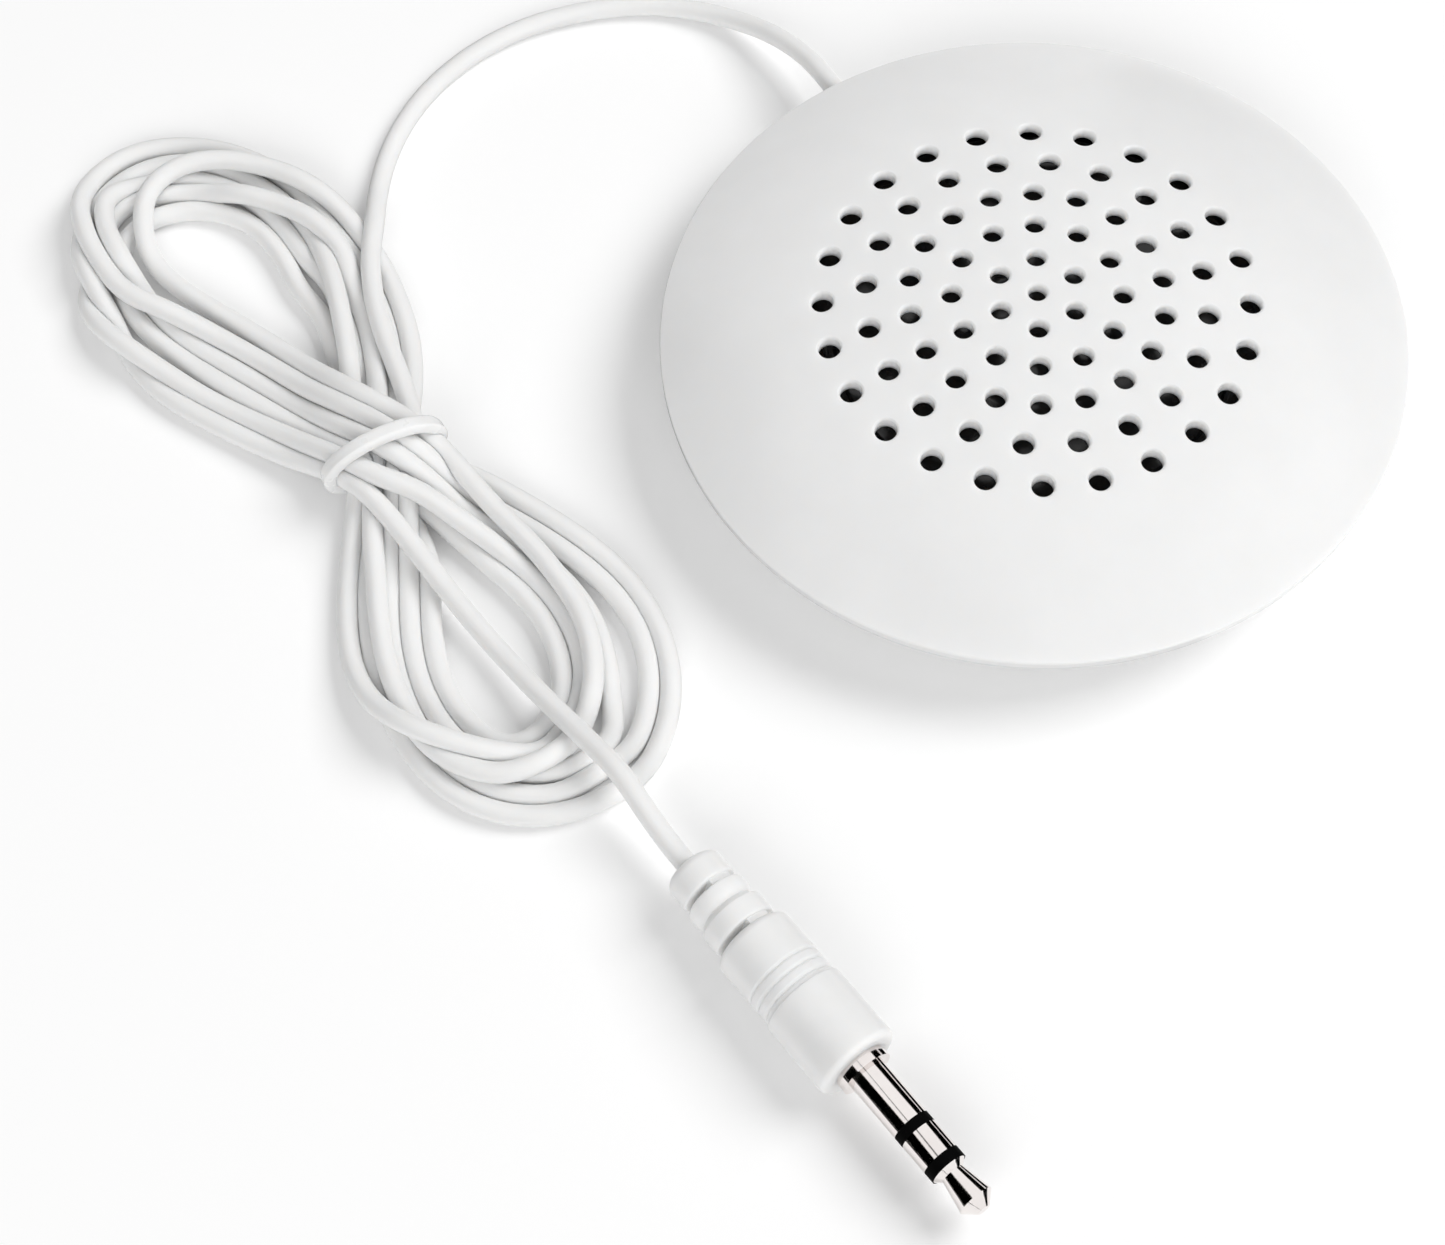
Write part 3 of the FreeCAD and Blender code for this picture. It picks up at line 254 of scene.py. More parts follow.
hankSet = {
    # nine places round each loop, from the tie and back to it: inner and outer limits of the turns
    "upperInner": [(-66.6, 4.5), (-68.8, 13.0), (-72.5, 19.6), (-77.5, 22.6), (-82.7, 21.6),
                   (-84.3, 18.3), (-81.2, 14.8), (-75.3, 10.8), (-69.8, 6.4)],
    "upperOuter": [(-57.3, 5.0), (-60.0, 13.5), (-65.7, 23.4), (-74.8, 31.4), (-87.2, 33.2),
                   (-93.2, 25.2), (-92.0, 12.6), (-86.7, 3.2), (-78.5, -2.0)],
    "lowerInner": [(-52.6, -18.2), (-49.3, -21.8), (-46.6, -26.0), (-45.9, -31.0), (-48.0, -35.5),
                   (-51.4, -37.3), (-54.3, -35.2), (-56.0, -30.5), (-56.3, -24.0)],
    "lowerOuter": [(-46.5, -12.4), (-40.0, -17.0), (-35.0, -23.5), (-33.5, -32.5), (-36.0, -41.5),
                   (-45.5, -45.0), (-56.5, -41.5), (-63.8, -33.5), (-65.9, -24.0)],
    # one row a turn: how far out the cord lies at each place, and how many cords lie under it
    "lowerLanes": [
        [1.00, 1.00, 1.00, 1.00, 1.00, 1.00, 0.90, 0.80, 0.80],
        [0.05, 0.00, 0.00, 0.00, 0.05, 0.20, 0.10, 0.00, 0.00],
        [0.50, 0.45, 0.42, 0.42, 0.50, 0.65, 0.50, 0.33, 0.33],
        [0.80, 0.82, 0.82, 0.82, 0.80, 0.85, 0.60, 0.45, 0.45],
        [0.55, 0.40, 0.30, 0.30, 0.35, 0.60, 0.75, 0.67, 0.67],
        [0.28, 0.28, 0.30, 0.28, 0.25, 0.32, 0.62, 1.00, 1.00],
    ],
    "lowerLayers": ["000000000", "000000000", "000000011", "000011100", "111112221", "111112332"],
    "upperLanes": [
        [0.00, 0.00, 0.00, 0.00, 0.20, 0.45, 0.62, 0.62, 0.60],
        [0.25, 0.25, 0.30, 0.45, 0.60, 0.80, 0.60, 0.42, 0.38],
        [0.80, 0.80, 0.90, 1.00, 1.00, 1.00, 0.70, 0.28, 0.20],
        [1.00, 1.00, 1.00, 0.80, 0.50, 0.25, 0.05, 0.00, 0.00],
        [0.50, 0.50, 0.45, 0.30, 0.40, 0.80, 1.00, 0.92, 0.80],
        [0.15, 0.20, 0.40, 0.60, 0.85, 0.95, 0.85, 1.00, 1.05],
    ],
    "upperLayers": ["000000000", "000011111", "000111211", "001122211", "111100011", "110000000"],
    "layerRise": 1.75,
    # the tie, and where each turn goes through it: along the tie, and height
    "tieCentre": (-61.2, -7.7),
    "tieTurn": 25,
    "tieHeight": 3.95,
    "tieInside": (3.98, 1.58),
    "rising": [(-0.8, 2.5), (2.4, 2.6), (2.4, 3.9), (0.7, 3.9), (0.8, 2.4), (-2.4, 2.5)],
    "falling": [(-2.1, 3.9), (-0.7, 5.4), (0.9, 5.4), (2.4, 5.2), (-2.2, 5.2), (-3.7, 3.9)],
    "leadThrough": (3.9, 3.9),
}
tieCentre = np.array(hankSet["tieCentre"])
tieTurn = math.radians(hankSet["tieTurn"])
tieAcross = np.array([math.cos(tieTurn), math.sin(tieTurn)])


def loopPlaces(loop, turnNumber):
    # the nine places of one turn round the upper or the lower loop
    radius = cordSet["diameter"] / 2
    places = []
    for inner, outer, lane, layer in zip(hankSet[loop + "Inner"], hankSet[loop + "Outer"],
                                         hankSet[loop + "Lanes"][turnNumber],
                                         hankSet[loop + "Layers"][turnNumber]):
        inner, outer = np.array(inner), np.array(outer)
        outward = (outer - inner) / np.linalg.norm(outer - inner)
        place = inner + outward * radius + (outer - inner - 2 * radius * outward) * lane
        places.append((*place, radius + hankSet["layerRise"] * int(layer)))
    return places


def tiePlace(along, height):
    return (*(tieCentre + tieAcross * along), height)


def windingPlaces():
    places = cordSet["lead"] + [tiePlace(*hankSet["leadThrough"])]
    for turnNumber, (rising, falling) in enumerate(zip(hankSet["rising"], hankSet["falling"])):
        places += loopPlaces("lower", turnNumber) + [tiePlace(*rising)]
        places += loopPlaces("upper", turnNumber) + [tiePlace(*falling)]
    return places + cordSet["tail"]


def evenPoints(places, spacing):
    # a smooth line through the places, in steps of one length
    perPlace = 24
    p = np.array(places, float)
    before = np.vstack([p[:1], p[:-2]])
    after = np.vstack([p[2:], p[-1:]])
    line = []
    for u in np.linspace(0, 1, perPlace, endpoint=False):
        line.append(0.5 * (2 * p[:-1] + (p[1:] - before) * u
                           + (2 * before - 5 * p[:-1] + 4 * p[1:] - after) * u ** 2
                           + (3 * p[:-1] - before - 3 * p[1:] + after) * u ** 3))
    line = np.vstack([np.stack(line, 1).reshape(-1, 3), p[-1:]])
    along = np.concatenate([[0], np.cumsum(np.linalg.norm(np.diff(line, axis=0), axis=1))])
    steps = np.linspace(0, along[-1], int(round(along[-1] / spacing)) + 1)
    return np.stack([np.interp(steps, along, line[:, axis]) for axis in range(3)], 1)


def settleCord(start, values):
    # the cord keeps its length and straightens, its turns push each other apart, and it sinks
    x = start.copy()
    step = np.linalg.norm(np.diff(x, axis=0), axis=1).mean()
    radius = values["diameter"] / 2
    alongTie = np.array([*tieAcross, 0])
    throughTie = np.array([-tieAcross[1], tieAcross[0], 0])
    middle = np.array([*tieCentre, hankSet["tieHeight"]])
    wide, high = hankSet["tieInside"]
    away = np.linalg.norm(start[:, :2] - tieCentre, axis=1)
    pullFrom, pullTo = values["pullSpan"]
    pull = np.clip((away - pullFrom) / (pullTo - pullFrom), 0, 1)[:, None]
    first, second = np.triu_indices(len(x), values["neighbours"])
    fixedStart, fixedEnd = values["fixed"]

    def keepLength():
        for odd in (0, 1):
            a, b = x[odd:-1:2], x[odd + 1::2]
            between = b - a[:len(b)]
            length = np.linalg.norm(between, axis=1)[:, None]
            shift = values["lengthShare"] * (length - step) / length * between
            x[odd:-1:2] += shift
            x[odd + 1::2] -= shift

    def pushApart(near, apart):
        i, j = near
        between = x[j] - x[i]
        length = np.linalg.norm(between, axis=1)
        inTie = np.abs((x[i] - middle) @ throughTie) < values["pressed"]
        wanted = np.where(inTie, values["squeezed"], apart)
        hit = (length < wanted) & (length > 1e-6)
        i, j, between, length, wanted = i[hit], j[hit], between[hit], length[hit], wanted[hit]
        push = (values["pushShare"] * (wanted - length) / length)[:, None] * between
        np.add.at(x, i, -push)
        np.add.at(x, j, push)
        x[:, 2] = np.maximum(x[:, 2], radius)

    def keepInTie():
        gone = x - middle
        along = gone @ alongTie
        outside = np.sqrt((along / wide) ** 2 + (gone[:, 2] / high) ** 2)
        held = (np.abs(gone @ throughTie) < values["held"]) & (outside > 1)
        held[:fixedStart] = False
        shrink = 1 / outside[held] - 1
        x[held] += np.outer(along[held] * shrink, alongTie)
        x[held, 2] += gone[held, 2] * shrink

    for stage in values["stages"]:
        for number in range(stage["rounds"]):
            x[1:-1] += stage["bend"] * ((x[:-2] + x[2:]) / 2 - x[1:-1])
            x[:, :2] += stage["hold"] * pull * (start[:, :2] - x[:, :2])
            x[:, 2] -= stage["sink"]
            if number % values["lookEach"] == 0:
                reach = values["diameter"] * values["lookReach"]
                close = (np.abs(x[first, :2] - x[second, :2]) < reach).all(axis=1)
                near = first[close], second[close]
            for again in range(stage["passes"]):
                keepLength()
                pushApart(near, stage["apart"])
                keepInTie()
            x[:fixedStart] = start[:fixedStart]
            x[-fixedEnd:] = start[-fixedEnd:]
    return x


def makeCord():
    settled = settleCord(evenPoints(windingPlaces(), cordSet["spacing"]), cordSet)
    points = np.vstack([settled[:-1:2], settled[-1:]]) * mm
    curve = bpy.data.curves.new("cord", "CURVE")
    curve.dimensions = "3D"
    spline = curve.splines.new("NURBS")
    spline.points.add(len(points) - 1)
    for point, place in zip(spline.points, points):
        point.co = (*place, 1)
    spline.order_u = 3
    spline.use_endpoint_u = True
    curve.resolution_u = 4
    curve.bevel_depth = cordSet["diameter"] / 2 * mm
    curve.bevel_resolution = 6
    curve.use_fill_caps = True
    length = np.linalg.norm(np.diff(settled, axis=0), axis=1).sum()
    print("cord settled,", len(points), "points,", round(length), "mm")
    return linkPiece("cord", curve)


cord = makeCord()


# top shell: a turned dome with rings of round holes
topSet = {
    # the outer face is an arc for the crown, out to its span, and a tighter one for the shoulder
    "crownSpan": 20, "crownRadius": 118.497, "crownCentre": (0, -104.097),
    "shoulderRadius": 48.587, "shoulderCentre": (11.799, -35.190),
    "rimRadius": 35, "rimHeight": 7.5, "parting": 6.4, "round": 0.35, "wall": 1.2,
    # each rib inside: its inner and outer radius, and the height of its foot
    "ribs": [(31.4, 32.3, 5.6), (25.15, 26.15, 7.6), (23.1, 24.1, 8.9)],
    "holeRadius": 0.86, "holeGrowth": 0.034, "lip": 0.32, "ringPitch": 3.95,
    "rings": [1, 6, 12, 18, 20, 24], "ringTurns": [0, 86.5, 86.5, 86.5, 80.5, 86.5],
    # how many corners the shapes get, how long the drills are and what counts as a sliver after them
    "around": 192, "aroundHole": 32, "crownSteps": 26, "shoulderSteps": 24, "roundSteps": 7,
    "innerSteps": 14, "ribSteps": 5, "drillDepth": 12, "sliver": 0.002,
}


def arcPoints(centre, radius, fromAngle, toAngle, count):
    angles = np.radians(np.linspace(fromAngle, toAngle, count))
    return [(centre[0] + radius * math.cos(a), centre[1] + radius * math.sin(a)) for a in angles]


def domeHeight(r, values, deep=0.0):
    # height of the outer face, or of the face so deep under it
    if r < values["crownSpan"] * (1 - deep / values["crownRadius"]):
        centre, radius = values["crownCentre"], values["crownRadius"] - deep
    else:
        centre, radius = values["shoulderCentre"], values["shoulderRadius"] - deep
    return centre[1] + math.sqrt(radius ** 2 - (r - centre[0]) ** 2)


def turned(name, section, around):
    # a solid turned round Z from a closed section of (radius, height) points in mm
    work = bmesh.new()
    angles = [2 * math.pi * k / around for k in range(around)]
    rings = []
    for r, z in section:
        if r < 1e-6:
            rings.append([work.verts.new((0, 0, z * mm))])
            continue
        rings.append([work.verts.new((r * mm * math.cos(angle), r * mm * math.sin(angle), z * mm))
                      for angle in angles])
    for lower, upper in zip(rings, rings[1:] + rings[:1]):
        if len(lower) == 1 and len(upper) == 1:
            continue
        for k in range(around):
            nextOne = (k + 1) % around
            corners = [lower[k % len(lower)], lower[nextOne % len(lower)],
                       upper[nextOne % len(upper)], upper[k % len(upper)]]
            work.faces.new(list(dict.fromkeys(corners)))
    bmesh.ops.recalc_face_normals(work, faces=work.faces)
    mesh = bpy.data.meshes.new(name)
    work.to_mesh(mesh)
    work.free()
    return linkPiece(name, mesh)


def topSection(values):
    rim, lean = values["rimRadius"], values["round"]
    slope = math.degrees(math.atan2(rim - values["shoulderCentre"][0],
                                    values["rimHeight"] - values["shoulderCentre"][1]))
    reach = lean * math.tan(math.radians((90 - slope) / 2))
    last = rim - reach * math.cos(math.radians(slope))
    stops = list(np.linspace(0, values["crownSpan"], values["crownSteps"]))
    stops += list(np.linspace(values["crownSpan"], last, values["shoulderSteps"])[1:])
    section = [(r, domeHeight(r, values)) for r in stops]
    steps = values["roundSteps"]
    section += arcPoints((rim - lean, values["rimHeight"] - reach), lean, 90 - slope, 0, steps)[1:]
    section += arcPoints((rim - lean, values["parting"] + lean), lean, 0, -90, steps)
    inner = rim - values["wall"]
    section.append((inner, values["parting"]))
    deep = values["wall"]
    stops = [inner]
    for low, high, foot in values["ribs"]:
        stops += list(np.linspace(stops[-1], high, values["ribSteps"])[1:])
        section += [(r, domeHeight(r, values, deep)) for r in stops]
        section += [(high, foot), (low, foot)]
        stops = [low]
    stops += list(np.linspace(low, 0, values["innerSteps"])[1:])
    section += [(r, domeHeight(r, values, deep)) for r in stops]
    return section


def holeRadius(number, values):
    # the holes get a little larger from the middle outwards
    return values["holeRadius"] + values["holeGrowth"] * number


def lipCutter(number, values):
    # cuts the rounded lip of one hole: its origin lies on the dome's face, with Z outwards,
    # and it is a little narrower than the hole, so that the two cuts have no face in common
    radius, lip = holeRadius(number, values) - 0.004, values["lip"]
    foot = -1.3 * lip
    section = [(0, foot), (0.96 * radius, foot)]
    section += arcPoints((radius + lip, -lip), lip, 180, 96, 6)
    section += [(radius + lip * 1.02, lip), (0, lip)]
    return turned("lipCutter" + str(number), section, values["aroundHole"])


def perforationTree(values):
    # cuts the rings of holes straight down through the dome, and rounds their lips square to its face
    tree = bpy.data.node_groups.new("perforatedCrown", "GeometryNodeTree")
    face = tree.interface
    face.new_socket("Shell", in_out="INPUT", socket_type="NodeSocketGeometry")
    for label in ("Hole Radius", "Hole Growth", "Ring Pitch", "Crown Radius", "Crown Centre"):
        face.new_socket(label, in_out="INPUT", socket_type="NodeSocketFloat")
    for number in range(len(values["rings"])):
        face.new_socket("Lip " + str(number), in_out="INPUT", socket_type="NodeSocketObject")
    face.new_socket("Finish", in_out="INPUT", socket_type="NodeSocketMaterial")
    face.new_socket("Shell", in_out="OUTPUT", socket_type="NodeSocketGeometry")
    nodes, links = tree.nodes, tree.links
    given = nodes.new("NodeGroupInput")
    result = nodes.new("NodeGroupOutput")

    def maths(operation, first, second=None):
        node = nodes.new("ShaderNodeMath")
        node.operation = operation
        for socket, value in zip(node.inputs, (first, second)):
            if isinstance(value, (int, float)):
                socket.default_value = value
            elif value is not None:
                links.new(value, socket)
        return node.outputs[0]

    def realPieces(shape):
        real = nodes.new("GeometryNodeRealizeInstances")
        links.new(shape, real.inputs["Geometry"])
        return real.outputs["Geometry"]

    def straightUp(height):
        vector = nodes.new("ShaderNodeCombineXYZ")
        links.new(height, vector.inputs["Z"])
        return vector.outputs["Vector"]

    def instances(points, shape):
        placed = nodes.new("GeometryNodeInstanceOnPoints")
        links.new(points, placed.inputs["Points"])
        links.new(shape, placed.inputs["Instance"])
        return placed

    drills = nodes.new("GeometryNodeJoinGeometry")
    lips = nodes.new("GeometryNodeJoinGeometry")
    for number, (count, turn) in enumerate(zip(values["rings"], values["ringTurns"])):
        far = maths("MULTIPLY", given.outputs["Ring Pitch"], number)
        ring = nodes.new("GeometryNodeMeshCircle")
        ring.inputs["Vertices"].default_value = max(count, 3)
        links.new(far, ring.inputs["Radius"])
        if count == 1:
            ring = nodes.new("GeometryNodeMeshLine")
            ring.inputs["Count"].default_value = 1
        # the ring is lifted to the crown's own height there
        leg = maths("SQRT", maths("SUBTRACT", maths("POWER", given.outputs["Crown Radius"], 2),
                                  maths("POWER", far, 2)))
        lift = straightUp(maths("ADD", leg, given.outputs["Crown Centre"]))
        place = nodes.new("GeometryNodeTransform")
        place.inputs["Rotation"].default_value = (0, 0, math.radians(turn))
        links.new(ring.outputs["Mesh"], place.inputs["Geometry"])
        links.new(lift, place.inputs["Translation"])

        drill = nodes.new("GeometryNodeMeshCylinder")
        drill.inputs["Vertices"].default_value = values["aroundHole"]
        drill.inputs["Depth"].default_value = values["drillDepth"] * mm
        growth = maths("MULTIPLY", given.outputs["Hole Growth"], number)
        links.new(maths("ADD", given.outputs["Hole Radius"], growth), drill.inputs["Radius"])
        drilled = instances(place.outputs["Geometry"], drill.outputs["Mesh"])
        links.new(drilled.outputs["Instances"], drills.inputs["Geometry"])

        # a lip's axis points away from the middle of the crown's sphere
        outward = nodes.new("ShaderNodeVectorMath")
        outward.operation = "SUBTRACT"
        where = nodes.new("GeometryNodeInputPosition")
        links.new(where.outputs["Position"], outward.inputs[0])
        links.new(straightUp(given.outputs["Crown Centre"]), outward.inputs[1])
        lean = nodes.new("FunctionNodeAlignRotationToVector")
        lean.axis = "Z"
        links.new(outward.outputs["Vector"], lean.inputs["Vector"])
        lip = nodes.new("GeometryNodeObjectInfo")
        links.new(given.outputs["Lip " + str(number)], lip.inputs["Object"])
        lipped = instances(place.outputs["Geometry"], lip.outputs["Geometry"])
        links.new(lean.outputs["Rotation"], lipped.inputs["Rotation"])
        links.new(lipped.outputs["Instances"], lips.inputs["Geometry"])
    shape = given.outputs["Shell"]
    for cutters in (drills, lips):
        less = nodes.new("GeometryNodeMeshBoolean")
        less.operation = "DIFFERENCE"
        less.solver = "EXACT"
        links.new(shape, less.inputs["Mesh 1"])
        links.new(realPieces(cutters.outputs["Geometry"]), less.inputs["Mesh 2"])
        shape = less.outputs["Mesh"]
    paint = nodes.new("GeometryNodeSetMaterial")
    links.new(realPieces(shape), paint.inputs["Geometry"])
    links.new(given.outputs["Finish"], paint.inputs["Material"])
    links.new(paint.outputs["Geometry"], result.inputs["Shell"])
    return tree


def setInputs(modifier, **given):
    # a modifier's inputs are set by the socket's identifier
    for item in modifier.node_group.interface.items_tree:
        if item.item_type == "SOCKET" and item.in_out == "INPUT" and item.name in given:
            modifier[item.identifier] = given[item.name]


def holeList(values):
    # each hole: its axis's place, its radius, its height on the face and the way the face looks there
    holes = []
    for number, (count, turn) in enumerate(zip(values["rings"], values["ringTurns"])):
        far = number * values["ringPitch"]
        for k in range(count):
            angle = math.radians(turn + 360 * k / count)
            place = Vector((far * math.cos(angle), far * math.sin(angle), domeHeight(far, values)))
            outward = (place - Vector((0, 0, values["crownCentre"][1]))).normalized()
            holes.append((place * mm, holeRadius(number, values) * mm, outward))
    return holes


def domeNormals(mesh, values):
    # exact normals: the dome's own curve, round hole walls and lips, and flat faces elsewhere
    holes = holeList(values)
    middles = np.array([hole[0][:2] for hole in holes])
    # a point this near to a face counts as on it
    slack = 2e-5
    span, lip = values["crownSpan"] * mm, values["lip"] * mm
    deepSpan = span * (1 - values["wall"] / values["crownRadius"])
    # beyond this distance from the middle there are no holes
    reach = values["ringPitch"] * mm * (len(values["rings"]) - 0.6)

    def faceNormal(place, flat):
        # the dome's own normal, where the point lies on its outer or its inner face
        r = math.hypot(place.x, place.y)
        for deep, side, bound in ((0, 1, span), (values["wall"], -1, deepSpan)):
            centre = values["crownCentre"] if r < bound else values["shoulderCentre"]
            radius = (values["crownRadius"] if r < bound else values["shoulderRadius"]) - deep
            out, up = r - centre[0] * mm, place.z - centre[1] * mm
            far = math.hypot(out, up)
            if abs(far - radius * mm) > slack:
                continue
            x, y = (place.x / r, place.y / r) if r > 1e-7 else (0, 0)
            found = Vector((out * x, out * y, up)) * (side / far)
            if found.dot(flat) > 0.95:
                return found
        return None

    def holeNormal(place, hole):
        # on the rounded lip, away from the middle of its rounding, and on the wall towards the axis
        middle, radius, outward = hole
        local = place - middle
        deep = local.dot(outward)
        side = local - outward * deep
        if deep > -lip * 1.02 and side.length > radius * 0.98:
            rounding = side.normalized() * (radius + lip) - outward * lip
            return (local - rounding).normalized()
        return Vector((-local.x, -local.y, 0)).normalized()

    normals = [None] * len(mesh.loops)
    for polygon in mesh.polygons:
        flat, centre = polygon.normal, polygon.center
        hole = None
        if math.hypot(centre.x, centre.y) < reach:
            away = (middles[:, 0] - centre.x) ** 2 + (middles[:, 1] - centre.y) ** 2
            nearest = int(np.argmin(away))
            if math.sqrt(away[nearest]) < holes[nearest][1] + lip * 1.1:
                hole = holes[nearest]
        for index in polygon.loop_indices:
            place = mesh.vertices[mesh.loops[index].vertex_index].co
            found = faceNormal(place, flat)
            if found is None and hole is not None:
                found = holeNormal(place, hole)
                if found.dot(flat) < 0.5:
                    found = flat
            if found is None:
                # the rim, the ribs and the edge, round about the shell's axis
                r = max(math.hypot(place.x, place.y), 1e-9)
                centreR = max(math.hypot(centre.x, centre.y), 1e-9)
                out = (flat.x * centre.x + flat.y * centre.y) / centreR
                found = Vector((out * place.x / r, out * place.y / r, flat.z)).normalized()
            normals[index] = found
    for polygon in mesh.polygons:
        polygon.use_smooth = True
    mesh.normals_split_custom_set(normals)


def cleanCut(mesh, values):
    # the cuts leave faces without an area
    least = values["sliver"] * mm
    work = bmesh.new()
    work.from_mesh(mesh)
    bmesh.ops.remove_doubles(work, verts=work.verts, dist=least)
    bmesh.ops.dissolve_degenerate(work, edges=work.edges, dist=least)
    bmesh.ops.triangulate(work, faces=[face for face in work.faces if len(face.verts) > 4])
    bmesh.ops.dissolve_degenerate(work, edges=work.edges, dist=least)
    work.to_mesh(mesh)
    work.free()


lipCutters = [lipCutter(number, topSet) for number in range(len(topSet["rings"]))]
topShell = turned("topShell", topSection(topSet), topSet["around"])
drilling = topShell.modifiers.new("perforatedCrown", "NODES")
drilling.node_group = perforationTree(topSet)
setInputs(drilling, **{"Hole Radius": topSet["holeRadius"] * mm,
                       "Hole Growth": topSet["holeGrowth"] * mm,
                       "Ring Pitch": topSet["ringPitch"] * mm,
                       "Crown Radius": topSet["crownRadius"] * mm,
                       "Crown Centre": topSet["crownCentre"][1] * mm,
                       "Finish": finishes["white_case"]})
setInputs(drilling, **{"Lip " + str(number): cutter for number, cutter in enumerate(lipCutters)})
makePlain(topShell)
for cutter in lipCutters:
    bpy.data.objects.remove(cutter)
cleanCut(topShell.data, topSet)
domeNormals(topShell.data, topSet)
print("top shell made,", len(topShell.data.polygons), "faces")


# pieces that keep the model's own shape, with its facets smoothed
def smoothCopy(nodeName, pieceName):
    # an edge that bends more than this stays sharp
    sharpAngle = math.radians(28)
    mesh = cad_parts[nodeName].data.copy()
    mesh.name = pieceName
    work = bmesh.new()
    work.from_mesh(mesh)
    bmesh.ops.remove_doubles(work, verts=work.verts, dist=1e-6)
    work.to_mesh(mesh)
    work.free()
    if "custom_normal" in mesh.attributes:
        mesh.attributes.remove(mesh.attributes["custom_normal"])
    for polygon in mesh.polygons:
        polygon.use_smooth = True
    mesh.set_sharp_from_angle(angle=sharpAngle)
    piece = linkPiece(pieceName, mesh)
    weigh = piece.modifiers.new("weigh", "WEIGHTED_NORMAL")
    weigh.keep_sharp = True
    makePlain(piece)
    return piece


smoothPieces = {
    # piece: the node that it stands for, and its slot
    "bottomShell": ("bottom_shell", "white_case"),
    "speakerFilm": ("diaphragm", "black_film"),
    "plugMoulding": ("plug_moulding", "white_moulding"),
    "sleeveContact": ("plug_sleeve", "plug_nickel"),
    "rearBand": ("plug_insulator_rear", "black_band"),
    "ringContact": ("plug_ring", "plug_nickel"),
    "frontBand": ("plug_insulator_front", "black_band"),
    "tipContact": ("plug_tip", "plug_nickel"),
}
riders = {}
for pieceName, (nodeName, slotName) in smoothPieces.items():
    piece = smoothCopy(nodeName, pieceName)
    hasFinish(piece, slotName)
    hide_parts(nodeName)
    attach(piece, "root")
    riders[pieceName] = piece
print("smooth pieces made")

# the tie: a soft moulded band closed round the waist of the hank, with a raised edge
tieSet = {"halfWidth": 5.65, "halfHeight": 3.2, "height": 4.0, "thick": 0.62, "wide": 0.84,
          "square": 3.0, "ridgeAt": 0.58, "ridgeWide": 0.2, "ridge": 0.13, "around": 128, "section": 40}


def makeTie(values):
    middle = Vector((*tieCentre, values["height"]))
    across = Vector((*tieAcross, 0))
    downHank = Vector((tieAcross[1], -tieAcross[0], 0))
    blunt = 2 / values["square"]
    work = bmesh.new()
    rings = []
    for k in range(values["around"]):
        angle = 2 * math.pi * k / values["around"]
        line = middle + across * values["halfWidth"] * math.cos(angle)
        line.z += values["halfHeight"] * math.sin(angle)
        outward = across * math.cos(angle) / values["halfWidth"]
        outward.z = math.sin(angle) / values["halfHeight"]
        outward.normalize()
        ring = []
        for n in range(values["section"]):
            turn = 2 * math.pi * n / values["section"]
            out = math.copysign(abs(math.sin(turn)) ** blunt, math.sin(turn)) * values["thick"]
            along = math.copysign(abs(math.cos(turn)) ** blunt, math.cos(turn)) * values["wide"]
            if out > 0:
                aside = (along - values["ridgeAt"]) / values["ridgeWide"]
                out += values["ridge"] * math.exp(-aside ** 2)
            ring.append(work.verts.new((line + outward * out + downHank * along) * mm))
        rings.append(ring)
    for ring, following in zip(rings, rings[1:] + rings[:1]):
        for n in range(values["section"]):
            after = (n + 1) % values["section"]
            work.faces.new((ring[n], ring[after], following[after], following[n])).smooth = True
    bmesh.ops.recalc_face_normals(work, faces=work.faces)
    mesh = bpy.data.meshes.new("waistTie")
    work.to_mesh(mesh)
    work.free()
    return linkPiece("waistTie", mesh)


riders["waistTie"] = hasFinish(makeTie(tieSet), "tie_coating")
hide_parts("cable_tie")
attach(riders["waistTie"], "root")

hasFinish(topShell, "white_case")
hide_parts("top_shell")
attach(topShell, "root")
hasFinish(cord, "white_cord")
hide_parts("cord_lead", "cord_hank", "cord_tail")
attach(cord, "root")

# nodes that stay as they are, inside the case and the plug, get their own finishes
keptNodes = {
    "driver_basket": "black_basket", "yoke_cup": "plated_steel", "gasket": "black_gasket",
    "voice_coil": "copper_coil", "vent_cloth": "vent_cloth", "magnet": "magnet_nickel",
    "pole_plate": "plated_steel", "foam_pad": "grey_foam", "terminal_board": "board",
    "wire_signal": "core_red", "wire_return": "core_black", "solder_joints": "solder",
    "inner_tie": "nylon", "plug_inner_mould": "inner_mould",
}
for nodeName, slotName in keptNodes.items():
    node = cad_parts[nodeName]
    for holder in node.material_slots:
        holder.material = finishes[slotName]
print("nodes finished")


# floor, light and background: paper that shines a little to the camera, more so far from the lamps
floorSet = {"halfSize": 1.5, "white": 0.95, "awayFrom": (0.2, 1.3), "shine": (0.07, 0.77)}


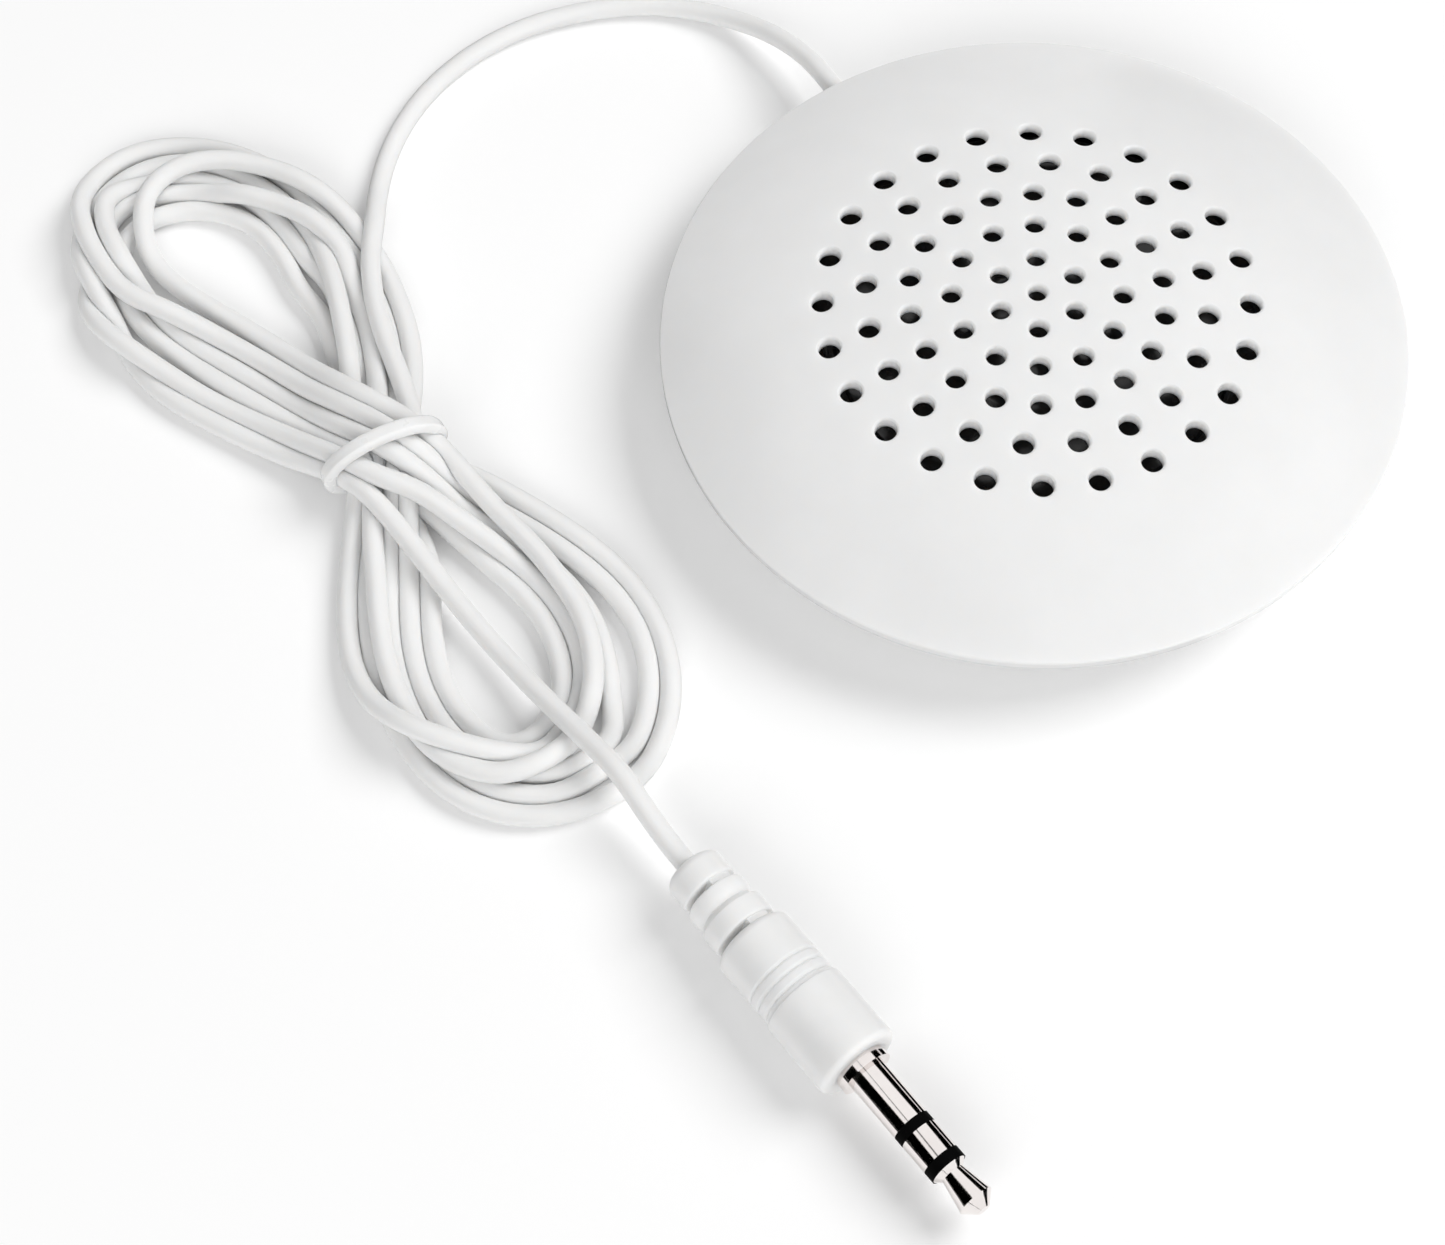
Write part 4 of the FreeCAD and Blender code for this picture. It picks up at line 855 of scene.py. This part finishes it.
def makeFloor(values):
    work = bmesh.new()
    bmesh.ops.create_grid(work, x_segments=1, y_segments=1, size=values["halfSize"])
    mesh = bpy.data.meshes.new("floor")
    work.to_mesh(mesh)
    work.free()
    floor = linkPiece("floor", mesh)
    material = bpy.data.materials.new("paper")
    material.use_nodes = True
    tree = material.node_tree
    nodes, links = tree.nodes, tree.links
    nodes.clear()
    white = nodes.new("ShaderNodeBsdfDiffuse")
    white.inputs["Color"].default_value = (values["white"], values["white"], values["white"], 1)
    glow = nodes.new("ShaderNodeEmission")
    place = nodes.new("ShaderNodeTexCoord")
    away = nodes.new("ShaderNodeVectorMath")
    away.operation = "LENGTH"
    shown = nodes.new("ShaderNodeMath")
    shown.operation = "MULTIPLY"
    shine = mapRange(tree, away.outputs["Value"], values["awayFrom"], values["shine"])
    links.new(place.outputs["Object"], away.inputs[0])
    links.new(seenRays(tree), shown.inputs[0])
    links.new(shine, shown.inputs[1])
    links.new(shown.outputs[0], glow.inputs["Strength"])
    both = nodes.new("ShaderNodeAddShader")
    out = nodes.new("ShaderNodeOutputMaterial")
    links.new(white.outputs[0], both.inputs[0])
    links.new(glow.outputs[0], both.inputs[1])
    links.new(both.outputs[0], out.inputs["Surface"])
    mesh.materials.append(material)


def seenRays(tree):
    # 1 for camera, glossy and transmission rays
    path = tree.nodes.new("ShaderNodeLightPath")
    value = path.outputs["Is Camera Ray"]
    for label in ("Is Glossy Ray", "Is Transmission Ray"):
        more = tree.nodes.new("ShaderNodeMath")
        more.operation = "MAXIMUM"
        tree.links.new(value, more.inputs[0])
        tree.links.new(path.outputs[label], more.inputs[1])
        value = more.outputs[0]
    return value


def makeWorld(skyLevel):
    world = bpy.data.worlds.new("studio")
    bpy.context.scene.world = world
    world.use_nodes = True
    tree = world.node_tree
    shader = tree.nodes["Background"]
    shader.inputs["Color"].default_value = (1, 1, 1, 1)
    level = mapRange(tree, seenRays(tree), (0, 1), (skyLevel, 1))
    tree.links.new(level, shader.inputs["Strength"])


def makeLamp(name, place, aim, size, watts):
    data = bpy.data.lights.new(name, "AREA")
    data.shape = "RECTANGLE"
    data.size, data.size_y = size
    data.energy = watts
    lamp = bpy.data.objects.new(name, data)
    lamp.location = place
    lamp.rotation_mode = "QUATERNION"
    lamp.rotation_quaternion = (Vector(aim) - Vector(place)).to_track_quat("-Z", "Y")
    # no bright square on the gloss
    lamp.visible_glossy = False
    bpy.context.scene.collection.objects.link(lamp)


def darkCard(name, corners, faces, grey):
    # a card that only shiny surfaces see: it draws the dark stripes on the plug
    mesh = bpy.data.meshes.new(name)
    mesh.from_pydata(corners, [], faces)
    card = linkPiece(name, mesh)
    dark = bpy.data.materials.new(name)
    dark.use_nodes = True
    nodes = dark.node_tree.nodes
    nodes.clear()
    glow = nodes.new("ShaderNodeEmission")
    glow.inputs["Strength"].default_value = grey
    dark.node_tree.links.new(glow.outputs[0], nodes.new("ShaderNodeOutputMaterial").inputs["Surface"])
    mesh.materials.append(dark)
    card.visible_camera = card.visible_diffuse = card.visible_shadow = False
    card.visible_transmission = card.visible_volume_scatter = False


def curvedCard(name, away, spread, heights, grey):
    # stands round the plug, from one direction to another
    corners, faces = [], []
    steps = 24
    for step in range(steps + 1):
        angle = math.radians(spread[0] + (spread[1] - spread[0]) * step / steps)
        for height in heights:
            corners.append((cardSet["middle"][0] + away * math.cos(angle),
                            cardSet["middle"][1] + away * math.sin(angle), height))
    for step in range(steps):
        faces.append((2 * step, 2 * step + 2, 2 * step + 3, 2 * step + 1))
    darkCard(name, corners, faces, grey)


def flatCard(name, side, near, far):
    # lies beside the plug, along it
    turn = math.radians(cardSet["turn"])
    along = Vector((math.cos(turn), math.sin(turn), 0)) * cardSet["halfLength"]
    across = Vector((-math.sin(turn), math.cos(turn), 0)) * side
    middle = Vector((*cardSet["middle"], cardSet["lift"]))
    ends = ((-1, near), (1, near), (1, far), (-1, far))
    corners = [middle + along * end + across * away for end, away in ends]
    darkCard(name, corners, [(0, 1, 2, 3)], 0)


lightSet = {
    "sky": 0.34,
    "lamps": {
        "key": {"place": (1.17, 0.40, 1.35), "aim": (-0.03, 0, 0), "size": (1.1, 1.1), "watts": 21},
        "front": {"place": (-0.25, -1.65, 1.12), "aim": (-0.03, 0, 0), "size": (1.8, 1), "watts": 18},
    },
}
cardSet = {
    "middle": (-0.0166, -0.0756), "turn": -54.2, "halfLength": 0.15, "lift": 0.0006,
    "standing": {
        "leftCard": {"away": 0.6, "spread": (130, 275), "heights": (0.0, 0.77), "grey": 0.0},
        "rightCard": {"away": 0.6, "spread": (-5, 75), "heights": (0.0, 0.40), "grey": 0.0},
        "overheadCard": {"away": 0.15, "spread": (156, 276), "heights": (0.43, 0.80), "grey": 0.1},
    },
    "lying": {"leftStrip": {"side": -1, "near": 0.025, "far": 0.3},
              "rightStrip": {"side": 1, "near": 0.009, "far": 0.05}},
}
makeFloor(floorSet)
makeWorld(lightSet["sky"])
for lampName, values in lightSet["lamps"].items():
    makeLamp(lampName, **values)
for cardName, values in cardSet["standing"].items():
    curvedCard(cardName, **values)
for cardName, values in cardSet["lying"].items():
    flatCard(cardName, **values)
bpy.context.scene.view_settings.view_transform = "Standard"
print("light and floor made")
